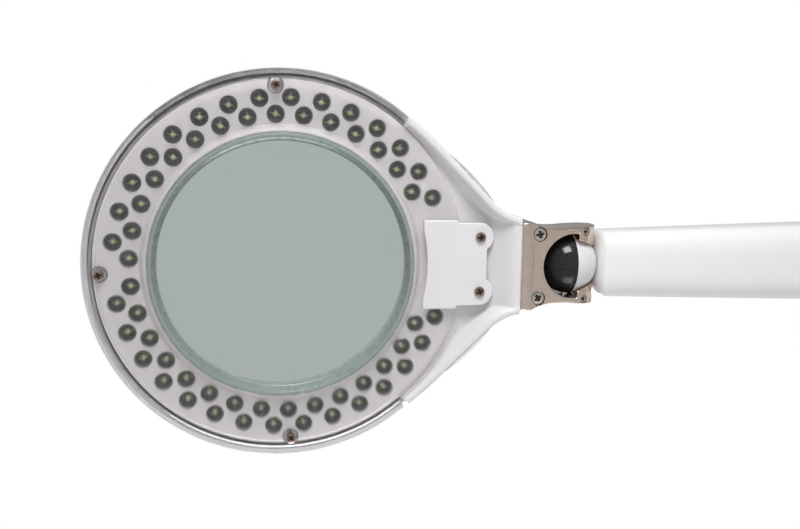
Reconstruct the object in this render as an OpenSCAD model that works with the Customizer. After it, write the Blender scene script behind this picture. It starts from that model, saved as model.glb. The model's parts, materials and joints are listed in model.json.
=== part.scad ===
// Magnifying lamp on a two-part balanced arm, with a screw clamp for a table edge.
// Millimetres. +Z is up. The origin is on the table top, under the vertical swivel axis.
// The arm lies in the XZ plane and the head points to -X, with its lights facing down.

/* [Head] */
// Radius of the head's round outline
head_r = 93.2; // [90:0.1:96]
// Radius of the lens glass
lens_r = 63; // [60:0.1:64]
// Radius of curvature of each lens face
lens_curve = 347; // [300:1:420]
// Height of the back of the head behind the light plane
head_back = 24; // [22:0.5:28]
// Half width of the neck where it meets the yoke
neck_half = 23.4; // [22:0.1:25]
// Radius of the concave sides of the neck
neck_fillet = 25; // [22:0.5:30]
// Thickness of the head's walls
wall = 2.2; // [1.8:0.1:2.6]

/* [Lights] */
// Radius of the inner ring of lights
ring_in = 72; // [71:0.1:73]
// Radius of the outer ring of lights
ring_out = 79.8; // [79:0.1:80.5]
// Angle between neighbouring lights in a ring
led_step = 10.55; // [10.4:0.01:10.6]
// Number of lights in each ring
led_count = 30; // [24:2:30]
// Radius of one light's clear dome
led_r = 3.9; // [2.5:0.1:4]
// Radius of the well around each light
well_r = 4.2; // [4.1:0.05:4.3]
// Turn of the light plate about the lens axis
plate_turn = 2.3; // [0:0.1:5]

/* [Ball joint] */
// Distance from the lens axis to the centre of the ball
ball_x = 142.5; // [140:0.5:150]
// Height of the ball's centre towards the lit side
ball_h = 1; // [0:0.5:4]
// Radius of the ball
ball_r = 15.2; // [14:0.1:15.5]
// Half thickness of the yoke, and radius of its rounded end
yoke_t = 13.2; // [12.8:0.1:14]
// Radius of the tilt axle
axle_r = 2; // [1.5:0.1:2.5]
// Radius of the roll stem
stem_r = 4; // [3:0.1:4.5]

/* [Arms] */
// Distance between the pivots of each arm
arm_len = 380; // [340:5:420]
// Lean of the lower arm behind the vertical
lean = 15; // [5:1:20]
// Height of the shoulder pivot above the table
shoulder_z = 78; // [76:1:84]
// Thickness of the steel side bars
bar_t = 3; // [2.5:0.5:3]
// Radius of the pivot bolts
bolt_r = 4; // [3:0.5:5]
// Thickness of the arm covers
cover_t = 2; // [1.6:0.1:2.4]

/* [Clamp] */
// Distance between the faces of the clamp's jaws
jaw_gap = 68; // [60:1:75]
// Width of the clamp frame
clamp_w = 44; // [40:1:50]
// Table thickness at which the pressure pad is drawn
pad_gap = 30; // [20:1:40]
// Radius of the clamp screw
screw_r = 5; // [4:0.5:5]
// Radius of the swivel post
post_r = 6; // [5:0.5:7]

/* [Hidden] */
$fn = 48;
eps = 0.01;
run = 0.05;            // radial clearance of a running fit
gap = 0.3;             // gap between curved faces that move past each other

elbow_x = arm_len * sin(lean);
elbow_z = shoulder_z + arm_len * cos(lean);
lens_x = elbow_x - arm_len - ball_x;
light_z = elbow_z + ball_h;

// ---------- places ----------
// The head's own frame: x towards the neck, z towards the lit side, origin on the light plane.
module at_head() { translate([lens_x, 0, light_z]) rotate([180, 0, 0]) children(); }
// The upper arm's frame: x from the ball's centre towards the elbow, z up.
module at_upper() { translate([elbow_x - arm_len, 0, elbow_z]) children(); }
// The lower arm's frame: x from the shoulder towards the elbow, z towards the front.
module at_lower() { translate([0, 0, shoulder_z]) rotate([0, lean - 90, 0]) children(); }
module at_elbow() { translate([elbow_x, 0, elbow_z]) children(); }
module at_shoulder() { translate([0, 0, shoulder_z]) children(); }
module along_y(r, from, to) { translate([0, from, 0]) rotate([-90, 0, 0]) cylinder(r = r, h = to - from); }
module along_x(r, from, to) { translate([from, 0, 0]) rotate([0, 90, 0]) cylinder(r = r, h = to - from); }
module along_z(r, from, to) { translate([0, 0, from]) cylinder(r = r, h = to - from); }
module both_sides() { children(); mirror([0, 1, 0]) children(); }
module box(low, high) { translate(low) cube(high - low); }

// Points of an arc about c from angle a to angle b
function arc(c, r, a, b, n) = [for (i = [0:n]) c + r * [cos(a + (b - a) * i / n), sin(a + (b - a) * i / n)]];
// A rounded rectangle w by d with corners of radius r
function rounded(w, d, r) = concat(
    arc([w / 2 - r, d / 2 - r], r, 0, 90, 5), arc([r - w / 2, d / 2 - r], r, 90, 180, 5),
    arc([r - w / 2, r - d / 2], r, 180, 270, 5), arc([w / 2 - r, r - d / 2], r, 270, 360, 5));
// A body through cross-sections [x, width, depth, corner]
module taper(sections) {
    hull() for (s = sections)
        translate([s[0], 0, 0]) rotate([90, 0, 90]) linear_extrude(eps) polygon(rounded(s[1], s[2], s[3]));
}
module ring(r_in, r_out, z_low, z_high) {
    rotate_extrude($fn = 120) translate([r_in, z_low]) square([r_out - r_in, z_high - z_low]);
}

// ---------- head ----------
lens_edge = 3;                       // thickness of the lens at its edge
lens_back = -5;                      // back of the lens edge
lens_front = lens_back + lens_edge;
lens_sag = lens_curve - sqrt(pow(lens_curve, 2) - pow(lens_r, 2));
tube_r = lens_r + 0.4;               // bore of the lens tube
seat_r = lens_r - 3;                 // bore of the seat behind the lens
cover_low = 3.2;                     // underside of the clear cover
cover_top = 4.9;                     // face of the clear cover
rim_low = -3;                        // lower edge of the cover's rim
face_r = 88.4;                       // outer radius of the cover's flat face
boss_r = 3.6;                        // radius of the screw bosses
cover_screw_r = 85.3;                // radius of the circle of cover screws
neck_end = 115;                      // where the neck meets the yoke
blend_at = 60;                       // angle at which the neck's cheeks leave the circle
blend_r = 145;                       // radius of that blend
rim_end = 50;                        // angle at which the cover's rim gives way to the cheeks
cheek_a = 43;                        // direction of the normal of the straight cheeks
tab_half = 22;                       // half width of the neck cover plate
tab_start = 68;                      // lens side edge of the neck cover plate
tab_screw = [96.4, 13.6];            // place of a neck plate screw
yoke_screw = [124, 15.8];            // place of a yoke neck screw
end_screw = [148, 16.8];             // place of a yoke end screw

function turn(a) = [cos(a), sin(a)];
// Half of the head's outline, drawn in by i
function half_outline(i) = let(
    blend_c = (head_r - blend_r) * turn(blend_at),
    reach = blend_c * turn(cheek_a) + blend_r,
    fil_y = neck_half + neck_fillet,
    fil_x = (reach + neck_fillet - fil_y * sin(cheek_a)) / cos(cheek_a),
    f = neck_fillet + i)
    concat([[neck_end, neck_half - i]],
        arc([fil_x, fil_y], f, 180 + cheek_a + 47 - 2, 180 + cheek_a, 9),
        arc(blend_c, blend_r - i, cheek_a, blend_at, 4),
        [(head_r - i - 1) * turn(blend_at + 2)]);
module neck_shape(i) {
    half = half_outline(i);
    polygon(concat([[neck_end, 0]], half, [[0, 0]]));
    mirror([0, 1]) polygon(concat([[neck_end, 0]], half, [[0, 0]]));
}
// A profile in the XZ plane, extruded across the head
module side_profile(points, half) {
    translate([0, half, 0]) rotate([90, 0, 0]) linear_extrude(2 * half) polygon(points);
}
module round_shell() {
    rotate_extrude($fn = 120) polygon(concat(
        [[head_r, rim_low], [head_r, -12]], arc([head_r - 12, 12 - head_back], 12, 0, -90, 8),
        [[seat_r, -head_back], [seat_r, lens_back - 1], [tube_r, lens_back - 1], [tube_r, -1.6],
         [tube_r + wall, -1.6], [tube_r + wall, wall - head_back]],
        arc([head_r - 12, 12 - head_back], 12 - wall, -90, 0, 8), [[head_r - wall, rim_low]]));
}
module neck_solid() {
    intersection() {
        translate([0, 0, -head_back]) linear_extrude(head_back + 14) neck_shape(0);
        side_profile([[60, -head_back], [80, -head_back], [96, -19], [108, -13.5], [neck_end, -12],
            [neck_end, 13.6], [108, 12.6], [92, 8], [78, 4.6], [60, 4]], 80);
    }
}
module neck_trough() {
    // the open trough between the cheeks, in front of the neck's floor
    intersection() {
        translate([0, 0, -20]) linear_extrude(40) neck_shape(3.2);
        side_profile([[50, -1.5], [88, -1.5], [97, -0.5], [104.5, 2.6], [110, 12.2], [112, 20], [50, 20]], 80);
    }
}
module neck_hollow() {
    intersection() {
        translate([0, 0, -head_back]) linear_extrude(60) neck_shape(wall);
        side_profile([[50, wall - head_back], [80, wall - head_back], [95, wall - 19], [107, -10.6],
            [112, -9.5], [112, 5], [104, 0], [96, -3.8], [50, -3.8]], 80);
    }
}
module cover_places() {
    for (a = [90, 180, 270]) rotate(a + plate_turn) translate([cover_screw_r, 0, 0]) children();
}
module head_housing() color("white") at_head() difference() {
    union() {
        round_shell();
        difference() {
            neck_solid();
            along_z(head_r - wall / 2, -30, 30, $fn = 120);
            neck_trough();
            neck_hollow();
        }
        // posts for the cover and plate screws, and lugs for the yoke
        cover_places() along_z(boss_r - 0.4, wall - head_back - 0.2, 0.2);
        both_sides() translate([tab_screw[0], tab_screw[1], 0]) along_z(3.4, -18, 3);
        both_sides() box([neck_end - 3, 11.4, ball_h - 6], [129, lug_half, ball_h + 6]);
    }
    cover_places() along_z(1.2, -10, 5);
    both_sides() translate([tab_screw[0], tab_screw[1], 0]) along_z(1.2, -10, 5);
    both_sides() translate([yoke_screw[0], yoke_screw[1], 0]) along_z(1.6, -20, 20);
    // the cut-out for the switch, and the way through for the driver board
    box([73.4, -7.6, -head_back - 1], [94.6, 7.6, -13.2]);
    box([85, -10.1, -12.5], [102, 10.1, -4]);
}
module lens() color([0.75, 0.9, 0.88, 0.5]) at_head() intersection() {
    along_z(lens_r, lens_back - 20, lens_front + 20, $fn = 120);
    translate([0, 0, lens_front + lens_sag - lens_curve]) sphere(lens_curve, $fn = 200);
    translate([0, 0, lens_back - lens_sag + lens_curve]) sphere(lens_curve, $fn = 200);
}
// Height of the lens face above its edge, at radius r
function lens_rise(r) = sqrt(pow(lens_curve, 2) - pow(r, 2)) - lens_curve + lens_sag;
module lens_gasket() color("dimgray") at_head() rotate_extrude($fn = 120) polygon([
    [seat_r, lens_back - 1], [tube_r, lens_back - 1], [tube_r, lens_back - lens_rise(tube_r) - 0.02],
    [seat_r, lens_back - lens_rise(seat_r) - 0.02]]);
module lens_retaining_ring() color("gainsboro") at_head() rotate_extrude($fn = 120) polygon([
    [seat_r - 0.6, lens_front + lens_rise(seat_r - 0.6) + 0.02],
    [lens_r, lens_front + 0.02], [tube_r, lens_front], [tube_r, 4.6], [lens_r, cover_top],
    [lens_r - 1.3, cover_top], [lens_r - 1.5, cover_top - 0.6], [seat_r - 0.6, -0.4]]);
module led_places() {
    for (k = [0:led_count - 1])
        rotate(180 + (k - (led_count - 1) / 2) * led_step + plate_turn) translate([ring_in, 0, 0]) children();
    for (k = [0:led_count]) if (k != led_count / 2)
        rotate(179.9 + (k - led_count / 2) * led_step + plate_turn) translate([ring_out, 0, 0]) children();
}
board_low = -4.6;
board_top = -3;
module led_board() color("darkgreen") at_head() difference() {
    ring(tube_r + wall + 0.2, 84.2, board_low, board_top);
    cover_places() along_z(boss_r, -10, 5);
}
module leds() color("lightyellow") at_head() led_places() rotate_extrude($fn = 24) polygon(concat(
    [[0, board_top], [led_r, board_top]],
    [for (a = [15:15:75]) [led_r * cos(a), -0.9 + led_r * sin(a)]], [[0, -0.9 + led_r]]));
module reflector_plate() color("white") at_head() difference() {
    rotate_extrude($fn = 120) polygon([[tube_r + 0.1, -1.6], [face_r - 0.2, -1.6], [face_r - 0.2, 0],
        [67.5, 0], [65.2, 2.2], [64.2, 2.6], [tube_r + 0.1, 2.6]]);
    led_places() along_z(well_r, -5, 5, $fn = 24);
    cover_places() along_z(boss_r + 0.2, -5, 5);
}
module clear_cover() color([0.9, 0.9, 0.95, 0.4]) at_head() difference() {
    union() {
        difference() {
            rotate_extrude($fn = 120) polygon([[tube_r + 0.1, cover_low], [face_r - 1.6, cover_low],
                [face_r - 1.6, 0.2], [face_r, 0.2], [face_r, rim_low], [head_r, rim_low],
                [head_r, 3.6], [head_r - 1.2, cover_top], [face_r + 1, cover_top], [face_r + 0.5, 4.1],
                [face_r, cover_top], [tube_r + 0.1, cover_top]]);
            // the rim gives way to the neck's cheeks
            difference() {
                translate([0, 0, -10]) linear_extrude(20)
                    polygon([[0, 0], 130 * turn(-rim_end), [150, 0], 130 * turn(rim_end)]);
                along_z(face_r, -11, 11, $fn = 120);
            }
        }
        cover_places() along_z(boss_r, 0.2, cover_top);
    }
    cover_places() along_z(1.3, -5, 10);
    cover_places() along_z(2.7, 3.3, 10);
    // the neck plate lies in a notch
    box([tab_start - 0.2, -tab_half - 0.2, 2.4], [100, tab_half + 0.2, 10]);
}
module pan_screw(head, shank, top, thick, low) {
    difference() {
        union() { along_z(head, top - thick, top); along_z(shank, low, top - thick + eps); }
        for (a = [0, 90]) rotate(a) box([-head * 0.6, -0.3, top - thick * 0.6], [head * 0.6, 0.3, top + 1]);
    }
}
module cover_screws() color("rosybrown") at_head() cover_places() pan_screw(2.4, 1.2, 4.7, 1.4, -9);
module neck_cover_plate() color("white") at_head() difference() {
    union() {
        difference() {
            translate([0, 0, 3]) linear_extrude(2.1) union() {
                translate([tab_start, -tab_half]) square([85 - tab_start, 2 * tab_half]);
                translate([80, -tab_screw[1] - 7]) square([tab_screw[0] - 80, 2 * tab_screw[1] + 14]);
                for (s = [-1, 1]) translate([tab_screw[0], s * tab_screw[1]]) circle(7);
                translate([90, -tab_screw[1]]) square([10, 2 * tab_screw[1]]);
            }
            along_z(70, -5, 20, $fn = 120);
        }
        // a lip that turns down into the trough
        box([88.8, -18, -1.2], [91, 18, 3]);
    }
    both_sides() translate([tab_screw[0], tab_screw[1], 0]) along_z(1.3, -5, 20);
}
module neck_plate_screws() color("rosybrown") at_head() both_sides()
    translate([tab_screw[0], tab_screw[1], 0]) pan_screw(2.5, 1.2, 6.6, 1.5, -9);
module driver_board() color("darkgreen") at_head() {
    box([71, -9.5, -11.8], [101, 9.5, -10.2]);
    box([90, -9, -10.2], [98, -2, -6]);
    box([88, 1, -10.2], [99, 9, -5.2]);
    translate([78, 4, 0]) along_z(3.5, -10.2, -5.4);
}
module switch_housing() color("dimgray") at_head() translate([84, 0, 0]) difference() {
    union() {
        box([-12.5, -9.5, -head_back - 1.5], [12.5, 9.5, -head_back]);
        box([-10.5, -7.5, -head_back], [10.5, 7.5, -13.4]);
    }
    box([-8.7, -5.9, -head_back - 3], [8.7, 5.9, -15]);
    translate([0, 0, -20]) along_y(1.25, -7, 7);
}
module rocker_button() color("black") at_head() translate([84, 0, -20]) rotate([0, rocker_a, 0]) {
    difference() {
        side_profile([[-7.4, 2], [-7.4, -4.6], [-6.8, -5.8], [0, -4.6],
            [6.8, -5.8], [7.4, -4.6], [7.4, 2]], 5.6);
        translate([0, 0, 3]) along_y(2.2, -3, 3);
    }
    along_y(1.2, -6.8, 6.8);
}

// ---------- yoke ----------
rocker_a = 10;                       // the switch rocker rests pressed on one side
yoke_low = ball_h - yoke_t;
yoke_top = ball_h + yoke_t;
yoke_half = 21.6;                    // half width of the yoke at the neck
yoke_end_half = 19.8;                // half width of the yoke at its tips
band_w = 6;                          // width of the raised band at the neck
lug_half = 17;                       // outer side of the housing's lugs in the yoke
// Half of the yoke's waisted outline
yoke_side = [[neck_end, yoke_half], [neck_end + band_w, yoke_half], [122.5, 20.8], [124.5, 19.9], [127, 19.1],
    [130, 18.5], [134, 18.2], [138, 18.3], [142, 18.6], [148, 19.1], [ball_x + 14, yoke_end_half]];
module yoke_outline() {
    polygon(concat(yoke_side, [for (i = [len(yoke_side) - 1:-1:0]) [yoke_side[i][0], -yoke_side[i][1]]]));
}
module yoke_window() {
    intersection() {
        circle(15.9, $fn = 96);
        translate([-20, -20]) square([21.6, 40]);
    }
    polygon([[0, -12.7], [1.5, -12.7], [4, -11.9], [14, -8.5], [14, 8.5], [4, 11.9], [1.5, 12.7], [0, 12.7]]);
}
module yoke_block() {
    difference() {
        union() {
            translate([0, 0, yoke_low]) linear_extrude(2 * yoke_t) difference() {
                yoke_outline();
                translate([ball_x, 0]) yoke_window();
            }
            box([neck_end, -yoke_half, yoke_low - 0.8], [neck_end + band_w, yoke_half, yoke_top + 0.8]);
        }
        // the end is rounded about the tilt axis, and the ball sits in a round socket
        translate([ball_x, 0, ball_h]) difference() {
            box([0, -30, -20], [20, 30, 20]);
            along_y(yoke_t, -31, 31, $fn = 96);
        }
        translate([ball_x, 0, ball_h]) sphere(ball_r + gap, $fn = 96);
        translate([ball_x, 0, ball_h]) along_y(axle_r + run, -17.6, 17.6);
        both_sides() box([neck_end - 4, 11.4, ball_h - 6], [129, lug_half, ball_h + 6]);
        box([neck_end - 4, -9, ball_h - 4], [ball_x - 12, 9, ball_h + 4]);
        both_sides() translate([yoke_screw[0], yoke_screw[1], 0]) {
            along_z(1.5, -30, 30);
            along_z(3.5, yoke_top - 1.6, 30);
        }
        both_sides() translate([end_screw[0], end_screw[1], 0]) {
            along_z(1.1, -30, 30);
            along_z(1.9, yoke_top - 3.4, 30);
        }
    }
}
module yoke_front() color("tan") at_head() intersection() {
    yoke_block();
    box([100, -40, ball_h], [170, 40, 40]);
}
module yoke_rear() color("tan") at_head() intersection() {
    yoke_block();
    box([100, -40, -40], [170, 40, ball_h]);
}
module yoke_neck_screws() color("silver") at_head() both_sides()
    translate([yoke_screw[0], yoke_screw[1], 0]) pan_screw(3.1, 1.5, yoke_top, 1.6, yoke_low);
module yoke_end_screws() color("silver") at_head() both_sides()
    translate([end_screw[0], end_screw[1], 0]) pan_screw(1.8, 1.1, yoke_top - 2, 1.4, yoke_low + 2);

// ---------- ball ----------
cut_x = 1;                 // where the black half of the ball ends
nose_end = 12.9;           // where the nose meets the arm
cap_x = 13.5;              // front face of the arm's covers
module ball_hub() color([0.08, 0.08, 0.08]) at_upper() difference() {
    intersection() {
        sphere(ball_r, $fn = 96);
        box([-20, -20, -20], [cut_x, 20, 20]);
    }
    along_y(axle_r, -20, 20);
}
module ball_nose() color("white") at_upper() difference() {
    rotate([0, 90, 0]) rotate_extrude($fn = 96) polygon(concat(
        [[0, 5], [0, cut_x]], arc([0, 0], ball_r, asin(cut_x / ball_r), asin(nose_end / ball_r), 12),
        [[6.2, nose_end], [6.2, cap_x + cover_t + 0.4], [stem_r, cap_x + cover_t + 0.4], [stem_r, 5]]));
    along_y(axle_r, -20, 20);
}
module tilt_axle() color("silver") at_upper() along_y(axle_r, -17.4, 17.4);
module roll_stem() color("silver") at_upper() along_x(stem_r, 5, 46);
module roll_nut() color("silver") at_upper() difference() {
    along_x(8, 39.2, 45, $fn = 6);
    along_x(stem_r, 30, 50);
}

// ---------- upper arm ----------
upper_bar_y = 11;          // inner face of the upper arm's bars
lower_bar_y = 15.5;        // inner face of the lower arm's bars
bar_half = 8;              // half height of a bar
eye_r = 13;                // radius of a bar's round end
drum_r = 8;                // radius of the balance drums
spring_r = 4.5;            // outer radius of a balance spring
spring_z = 8;              // height of the springs beside the pivots
cover_end = 30;            // distance from a pivot to the end of a cover
upper_outer = [[cap_x, 18, 16, 6], [cap_x + 0.5, 25.6, 22, 7], [cap_x + 1.5, 30.4, 25.8, 8],
    [cap_x + 3.6, 33.6, 28.4, 9],
    [arm_len - cover_end - 16, 52, 40, 13], [arm_len - cover_end, 52.5, 25, 10]];
function inset(sections, t) = [for (s = sections) [s[0], s[1] - 2 * t, s[2] - 2 * t, s[3] - t]];
module upper_shell() {
    difference() {
        taper(upper_outer);
        taper(inset([[cap_x + cover_t, 24, 21, 8], [cap_x + 5.6, 33.6, 28.4, 9],
            [arm_len - cover_end - 16, 52, 40, 13], [arm_len - cover_end + 1, 52.5, 25, 10]], cover_t));
        along_x(6.5, 0, 20);
        for (x = cover_screws_x) translate([x, 0, 0]) both_sides() translate([0, 7.5, 0]) {
            along_z(1.5, -30, 0);
            along_z(2.8, -30, -cover_face(x) + 1.2);
        }
    }
}
cover_screws_x = [125, 320];
// half depth of the upper arm's covers at x
function cover_face(x) = 14.2 + (x - cap_x - 3.6) * 5.8 / (arm_len - cover_end - 19.6 - cap_x);
module bar(y, from, to, eyes) {
    difference() {
        union() {
            box([from, y, -bar_half], [to, y + bar_t, bar_half]);
            for (x = eyes) translate([x, 0, 0]) along_y(eye_r, y, y + bar_t);
        }
        for (x = eyes) translate([x, 0, 0]) along_y(bolt_r + run, y - 1, y + bar_t + 1);
    }
}
module upper_bars() color("silver") at_upper() both_sides() difference() {
    bar(upper_bar_y, 20, arm_len, [arm_len]);
    for (x = upper_pin_x) translate([x, 0, 0]) along_y(2.5, 0, 20);
}
upper_pin_x = [58, 150, 300];
module cross_pins(places, y, z) { for (x = places) translate([x, 0, z]) along_y(2.5, -y, y); }
module upper_pins() color("silver") at_upper() {
    cross_pins(upper_pin_x, upper_bar_y + bar_t, 0);
    translate([150, 0, 0]) box([-3, -10.9, -2], [3, 10.9, spring_z + 2]);
}
// A post inside a cover for one of the other cover's screws
module cover_post(face) {
    difference() { along_z(2.4, 0.2 + cover_t - face, face - 1); along_z(1.3, -30, face - 4); }
}
module upper_cover_top() color("white") at_upper() {
    intersection() {
        upper_shell();
        box([0, -40, 0], [arm_len, 40, 40]);
    }
    for (x = cover_screws_x) both_sides() translate([x, 7.5, 0]) cover_post(cover_face(x));
}
module upper_cover_bottom() color("white") at_upper() intersection() {
    upper_shell();
    box([0, -40, -40], [arm_len, 40, 0]);
}
module upper_cover_screws() color("silver") at_upper()
    for (x = cover_screws_x) translate([x, 0, 0]) both_sides() translate([0, 7.5, 0]) mirror([0, 0, 1])
        pan_screw(2.5, 1.3, cover_face(x), 1.2, cover_face(x) - 9);
// A close-wound tension spring between x = a and b, one groove for each turn
module spring_body(a, b) {
    turns = round((b - a) / 3);
    pitch = (b - a) / turns;
    rotate([0, 90, 0]) rotate_extrude($fn = 24) polygon(concat([[spring_r - 1.6, b]],
        [[spring_r - 1.6, a]],
        [for (i = [0:turns - 1]) for (p = [[-0.7, 0], [0, 0.3], [0, 0.7]])
            [spring_r + p[0], a + (i + p[1]) * pitch]], [[spring_r - 0.7, b]]));
}
module upper_springs() color("gray") at_upper() both_sides() translate([0, 5.2, spring_z]) {
    spring_body(156, 262);
    along_x(1, 153, 158);
    along_x(1, 260, 265);
    rotate([0, 90, 0]) ring_disc(156, 158);
    rotate([0, 90, 0]) ring_disc(260, 262);
}
module ring_disc(a, b) { translate([0, 0, a]) cylinder(r = spring_r - 1.2, h = b - a); }
module upper_strap() color("dimgray") at_upper() {
    box([265, -10, spring_z - 2.5], [270, 10, spring_z + 2.5]);
    box([270, -5, drum_r + 0.3], [arm_len, 5, drum_r + 0.8]);
}
module arm_tip_block() color("gray") at_upper() difference() {
    box([cap_x + cover_t + 2.4, -10.9, -8], [39, 10.9, 8]);
    along_x(stem_r + run, 0, 60);
}

// ---------- elbow ----------
module elbow_bolt() color("silver") at_elbow() {
    along_y(bolt_r, -34, 19);
    along_y(8, 18.5 + 0.3, 23, $fn = 6);
}
module elbow_drum() color("ivory") at_elbow() difference() {
    union() { along_y(drum_r, -8, 8); both_sides() along_y(drum_r + 2.6, 6, 8); }
    along_y(bolt_r, -20, 20);
}
module elbow_discs() color("dimgray") at_elbow() both_sides() difference() {
    along_y(11, upper_bar_y + bar_t + 0.05, lower_bar_y);
    along_y(bolt_r, 0, 20);
}
module knob_shape() {
    difference() {
        union() {
            along_y(7, -23, -18.8);
            along_y(16, -33, -22);
            for (k = [0:7]) rotate([0, k * 45, 0]) translate([15.2, 0, 0]) along_y(3.4, -33, -22);
        }
        along_y(bolt_r + run, -40, 0);
    }
}
module elbow_knob() color([0.1, 0.1, 0.1]) at_elbow() knob_shape();

// ---------- lower arm ----------
lower_outer = [[cover_end, 52.5, 25, 10], [cover_end + 16, 52, 40, 13],
    [arm_len - cover_end - 16, 50, 38, 13], [arm_len - cover_end, 50, 25, 10]];
lower_screws_x = [70, 250, 310];
function lower_face(x) = 20 - (x - cover_end - 16) / (arm_len - 2 * cover_end - 32);
module lower_shell() {
    difference() {
        taper(lower_outer);
        taper(inset([[cover_end - 1, 52.5, 25, 10], [cover_end + 16, 52, 40, 13],
            [arm_len - cover_end - 16, 50, 38, 13], [arm_len - cover_end + 1, 50, 25, 10]], cover_t));
        for (x = lower_screws_x) translate([x, 0, 0]) both_sides() translate([0, 7.5, 0]) {
            along_z(1.5, -30, 0);
            along_z(2.8, -30, -lower_face(x) + 1.2);
        }
        translate([58, 0, -20]) along_z(5, -5, 5);
    }
}
module lower_bars() color("silver") at_lower() both_sides() difference() {
    bar(lower_bar_y, 0, arm_len, [0, arm_len]);
    for (x = lower_pin_x) translate([x, 0, 0]) along_y(2.5, 0, 22);
}
lower_pin_x = [80, 230, 320];
module lower_pins() color("silver") at_lower() {
    cross_pins(lower_pin_x, lower_bar_y + bar_t, 0);
    translate([230, 0, 0]) box([-3, -14, -spring_z - 2], [3, 14, 2]);
}
module lower_cover_front() color("white") at_lower() {
    intersection() {
        lower_shell();
        box([0, -40, 0], [arm_len, 40, 40]);
    }
    for (x = lower_screws_x) both_sides() translate([x, 7.5, 0]) cover_post(lower_face(x));
}
module lower_cover_back() color("white") at_lower() intersection() {
    lower_shell();
    box([0, -40, -40], [arm_len, 40, 0]);
}
module lower_cover_screws() color("silver") at_lower()
    for (x = lower_screws_x) translate([x, 0, 0]) both_sides() translate([0, 7.5, 0]) mirror([0, 0, 1])
        pan_screw(2.5, 1.3, lower_face(x), 1.2, lower_face(x) - 9);
module lower_springs() color("gray") at_lower() both_sides() translate([0, 5.2, -spring_z]) {
    spring_body(112, 224);
    along_x(1, 109, 114);
    along_x(1, 222, 227);
    rotate([0, 90, 0]) ring_disc(112, 114);
    rotate([0, 90, 0]) ring_disc(222, 224);
}
module lower_strap() color("dimgray") at_lower() {
    box([104, -10, -spring_z - 2.5], [109, 10, 2.5 - spring_z]);
    box([0, -5, -drum_r - 0.8], [104, 5, -drum_r - 0.3]);
}
gland_r = 3;               // bore of the cord gland
module cord_gland() color("black") at_lower() translate([58, 0, 0]) difference() {
    union() { along_z(5, -21, -14); along_z(7, -24, -20); along_z(7, -17.9, -15); }
    along_z(gland_r, -30, 0);
}

// ---------- shoulder and swivel ----------
boss_top = 40;             // top of the clamp's swivel boss
module swivel_post() color("silver") {
    along_z(post_r, 8, 46);
    along_z(14, boss_top + 0.7, 46);
}
module shoulder_bracket() color("white") difference() {
    union() {
        box([-13, -14, 46], [13, 14, 50]);
        both_sides() box([-13, 9, 46], [13, 14, shoulder_z]);
        at_shoulder() both_sides() along_y(eye_r, 9, 14);
    }
    at_shoulder() along_y(bolt_r, -30, 30);
}
module shoulder_drum() color("ivory") at_shoulder() difference() {
    union() { along_y(drum_r, -8.9, 8.9); both_sides() along_y(drum_r + 2.6, 6, 8.9); }
    along_y(bolt_r, -20, 20);
}
module shoulder_bolt() color("silver") at_shoulder() {
    along_y(bolt_r, -34, 19);
    along_y(8, 18.5 + 0.3, 23, $fn = 6);
}
module shoulder_discs() color("dimgray") at_shoulder() both_sides() difference() {
    along_y(11, 14, lower_bar_y - 0.05);
    along_y(bolt_r, 0, 20);
}
module shoulder_knob() color([0.1, 0.1, 0.1]) at_shoulder() knob_shape();

// ---------- clamp ----------
frame_low = -jaw_gap - 14;
nut_r = 8;
module clamp_frame() color("whitesmoke") difference() {
    union() {
        translate([0, clamp_w / 2, 0]) rotate([90, 0, 0]) linear_extrude(clamp_w) polygon(concat(
            [[-38, 2], [30, 2], [30, 2 - jaw_gap - 2], [-18, -jaw_gap], [-18, frame_low]],
            arc([34, frame_low + 8], 8, 270, 360, 4), arc([34, 6], 8, 0, 90, 4), [[-30, 14], [-38, 9]]));
        along_z(17, 13, boss_top);
        along_z(13, frame_low, -jaw_gap + 3);
    }
    along_z(nut_r, 6, boss_top + 1);
    along_z(nut_r, frame_low - 1, -jaw_gap + 4);
}
module jaw_pad() color("dimgray") box([-36, 3 - clamp_w / 2, 0], [28, clamp_w / 2 - 3, 2]);
module swivel_bush() color("goldenrod") difference() {
    union() { along_z(nut_r, 6, boss_top); along_z(13, boss_top, boss_top + 0.6); }
    along_z(post_r + run, 7.8, boss_top + 1);
}
module feed_nut() color("goldenrod") difference() {
    along_z(nut_r, frame_low, -jaw_gap + 3);
    along_z(screw_r + run, frame_low - 1, -jaw_gap + 4);
}
module pressure_pad() color("silver") difference() {
    union() { along_z(17, -pad_gap - 6, -pad_gap - 2); along_z(9, -pad_gap - 12, -pad_gap - 6); }
    along_z(screw_r + run, -pad_gap - 13, -pad_gap - 5);
}
module pad_rubber() color("dimgray") along_z(16, -pad_gap - 2, -pad_gap);
handle_z = -pad_gap - 112;
module clamp_screw() color("silver") difference() {
    union() { along_z(screw_r, handle_z, -pad_gap - 5.1); along_z(8.5, handle_z - 9, handle_z + 9); }
    translate([0, 0, handle_z]) along_x(3, -20, 20);
}
module tommy_bar() color("silver") translate([0, 0, handle_z]) along_x(3, -40, 40);
module bar_caps() color([0.1, 0.1, 0.1]) translate([0, 0, handle_z]) {
    for (s = [0, 1]) mirror([s, 0, 0]) difference() {
        along_x(5.5, 33, 46);
        along_x(3, 20, 40);
    }
}

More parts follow.
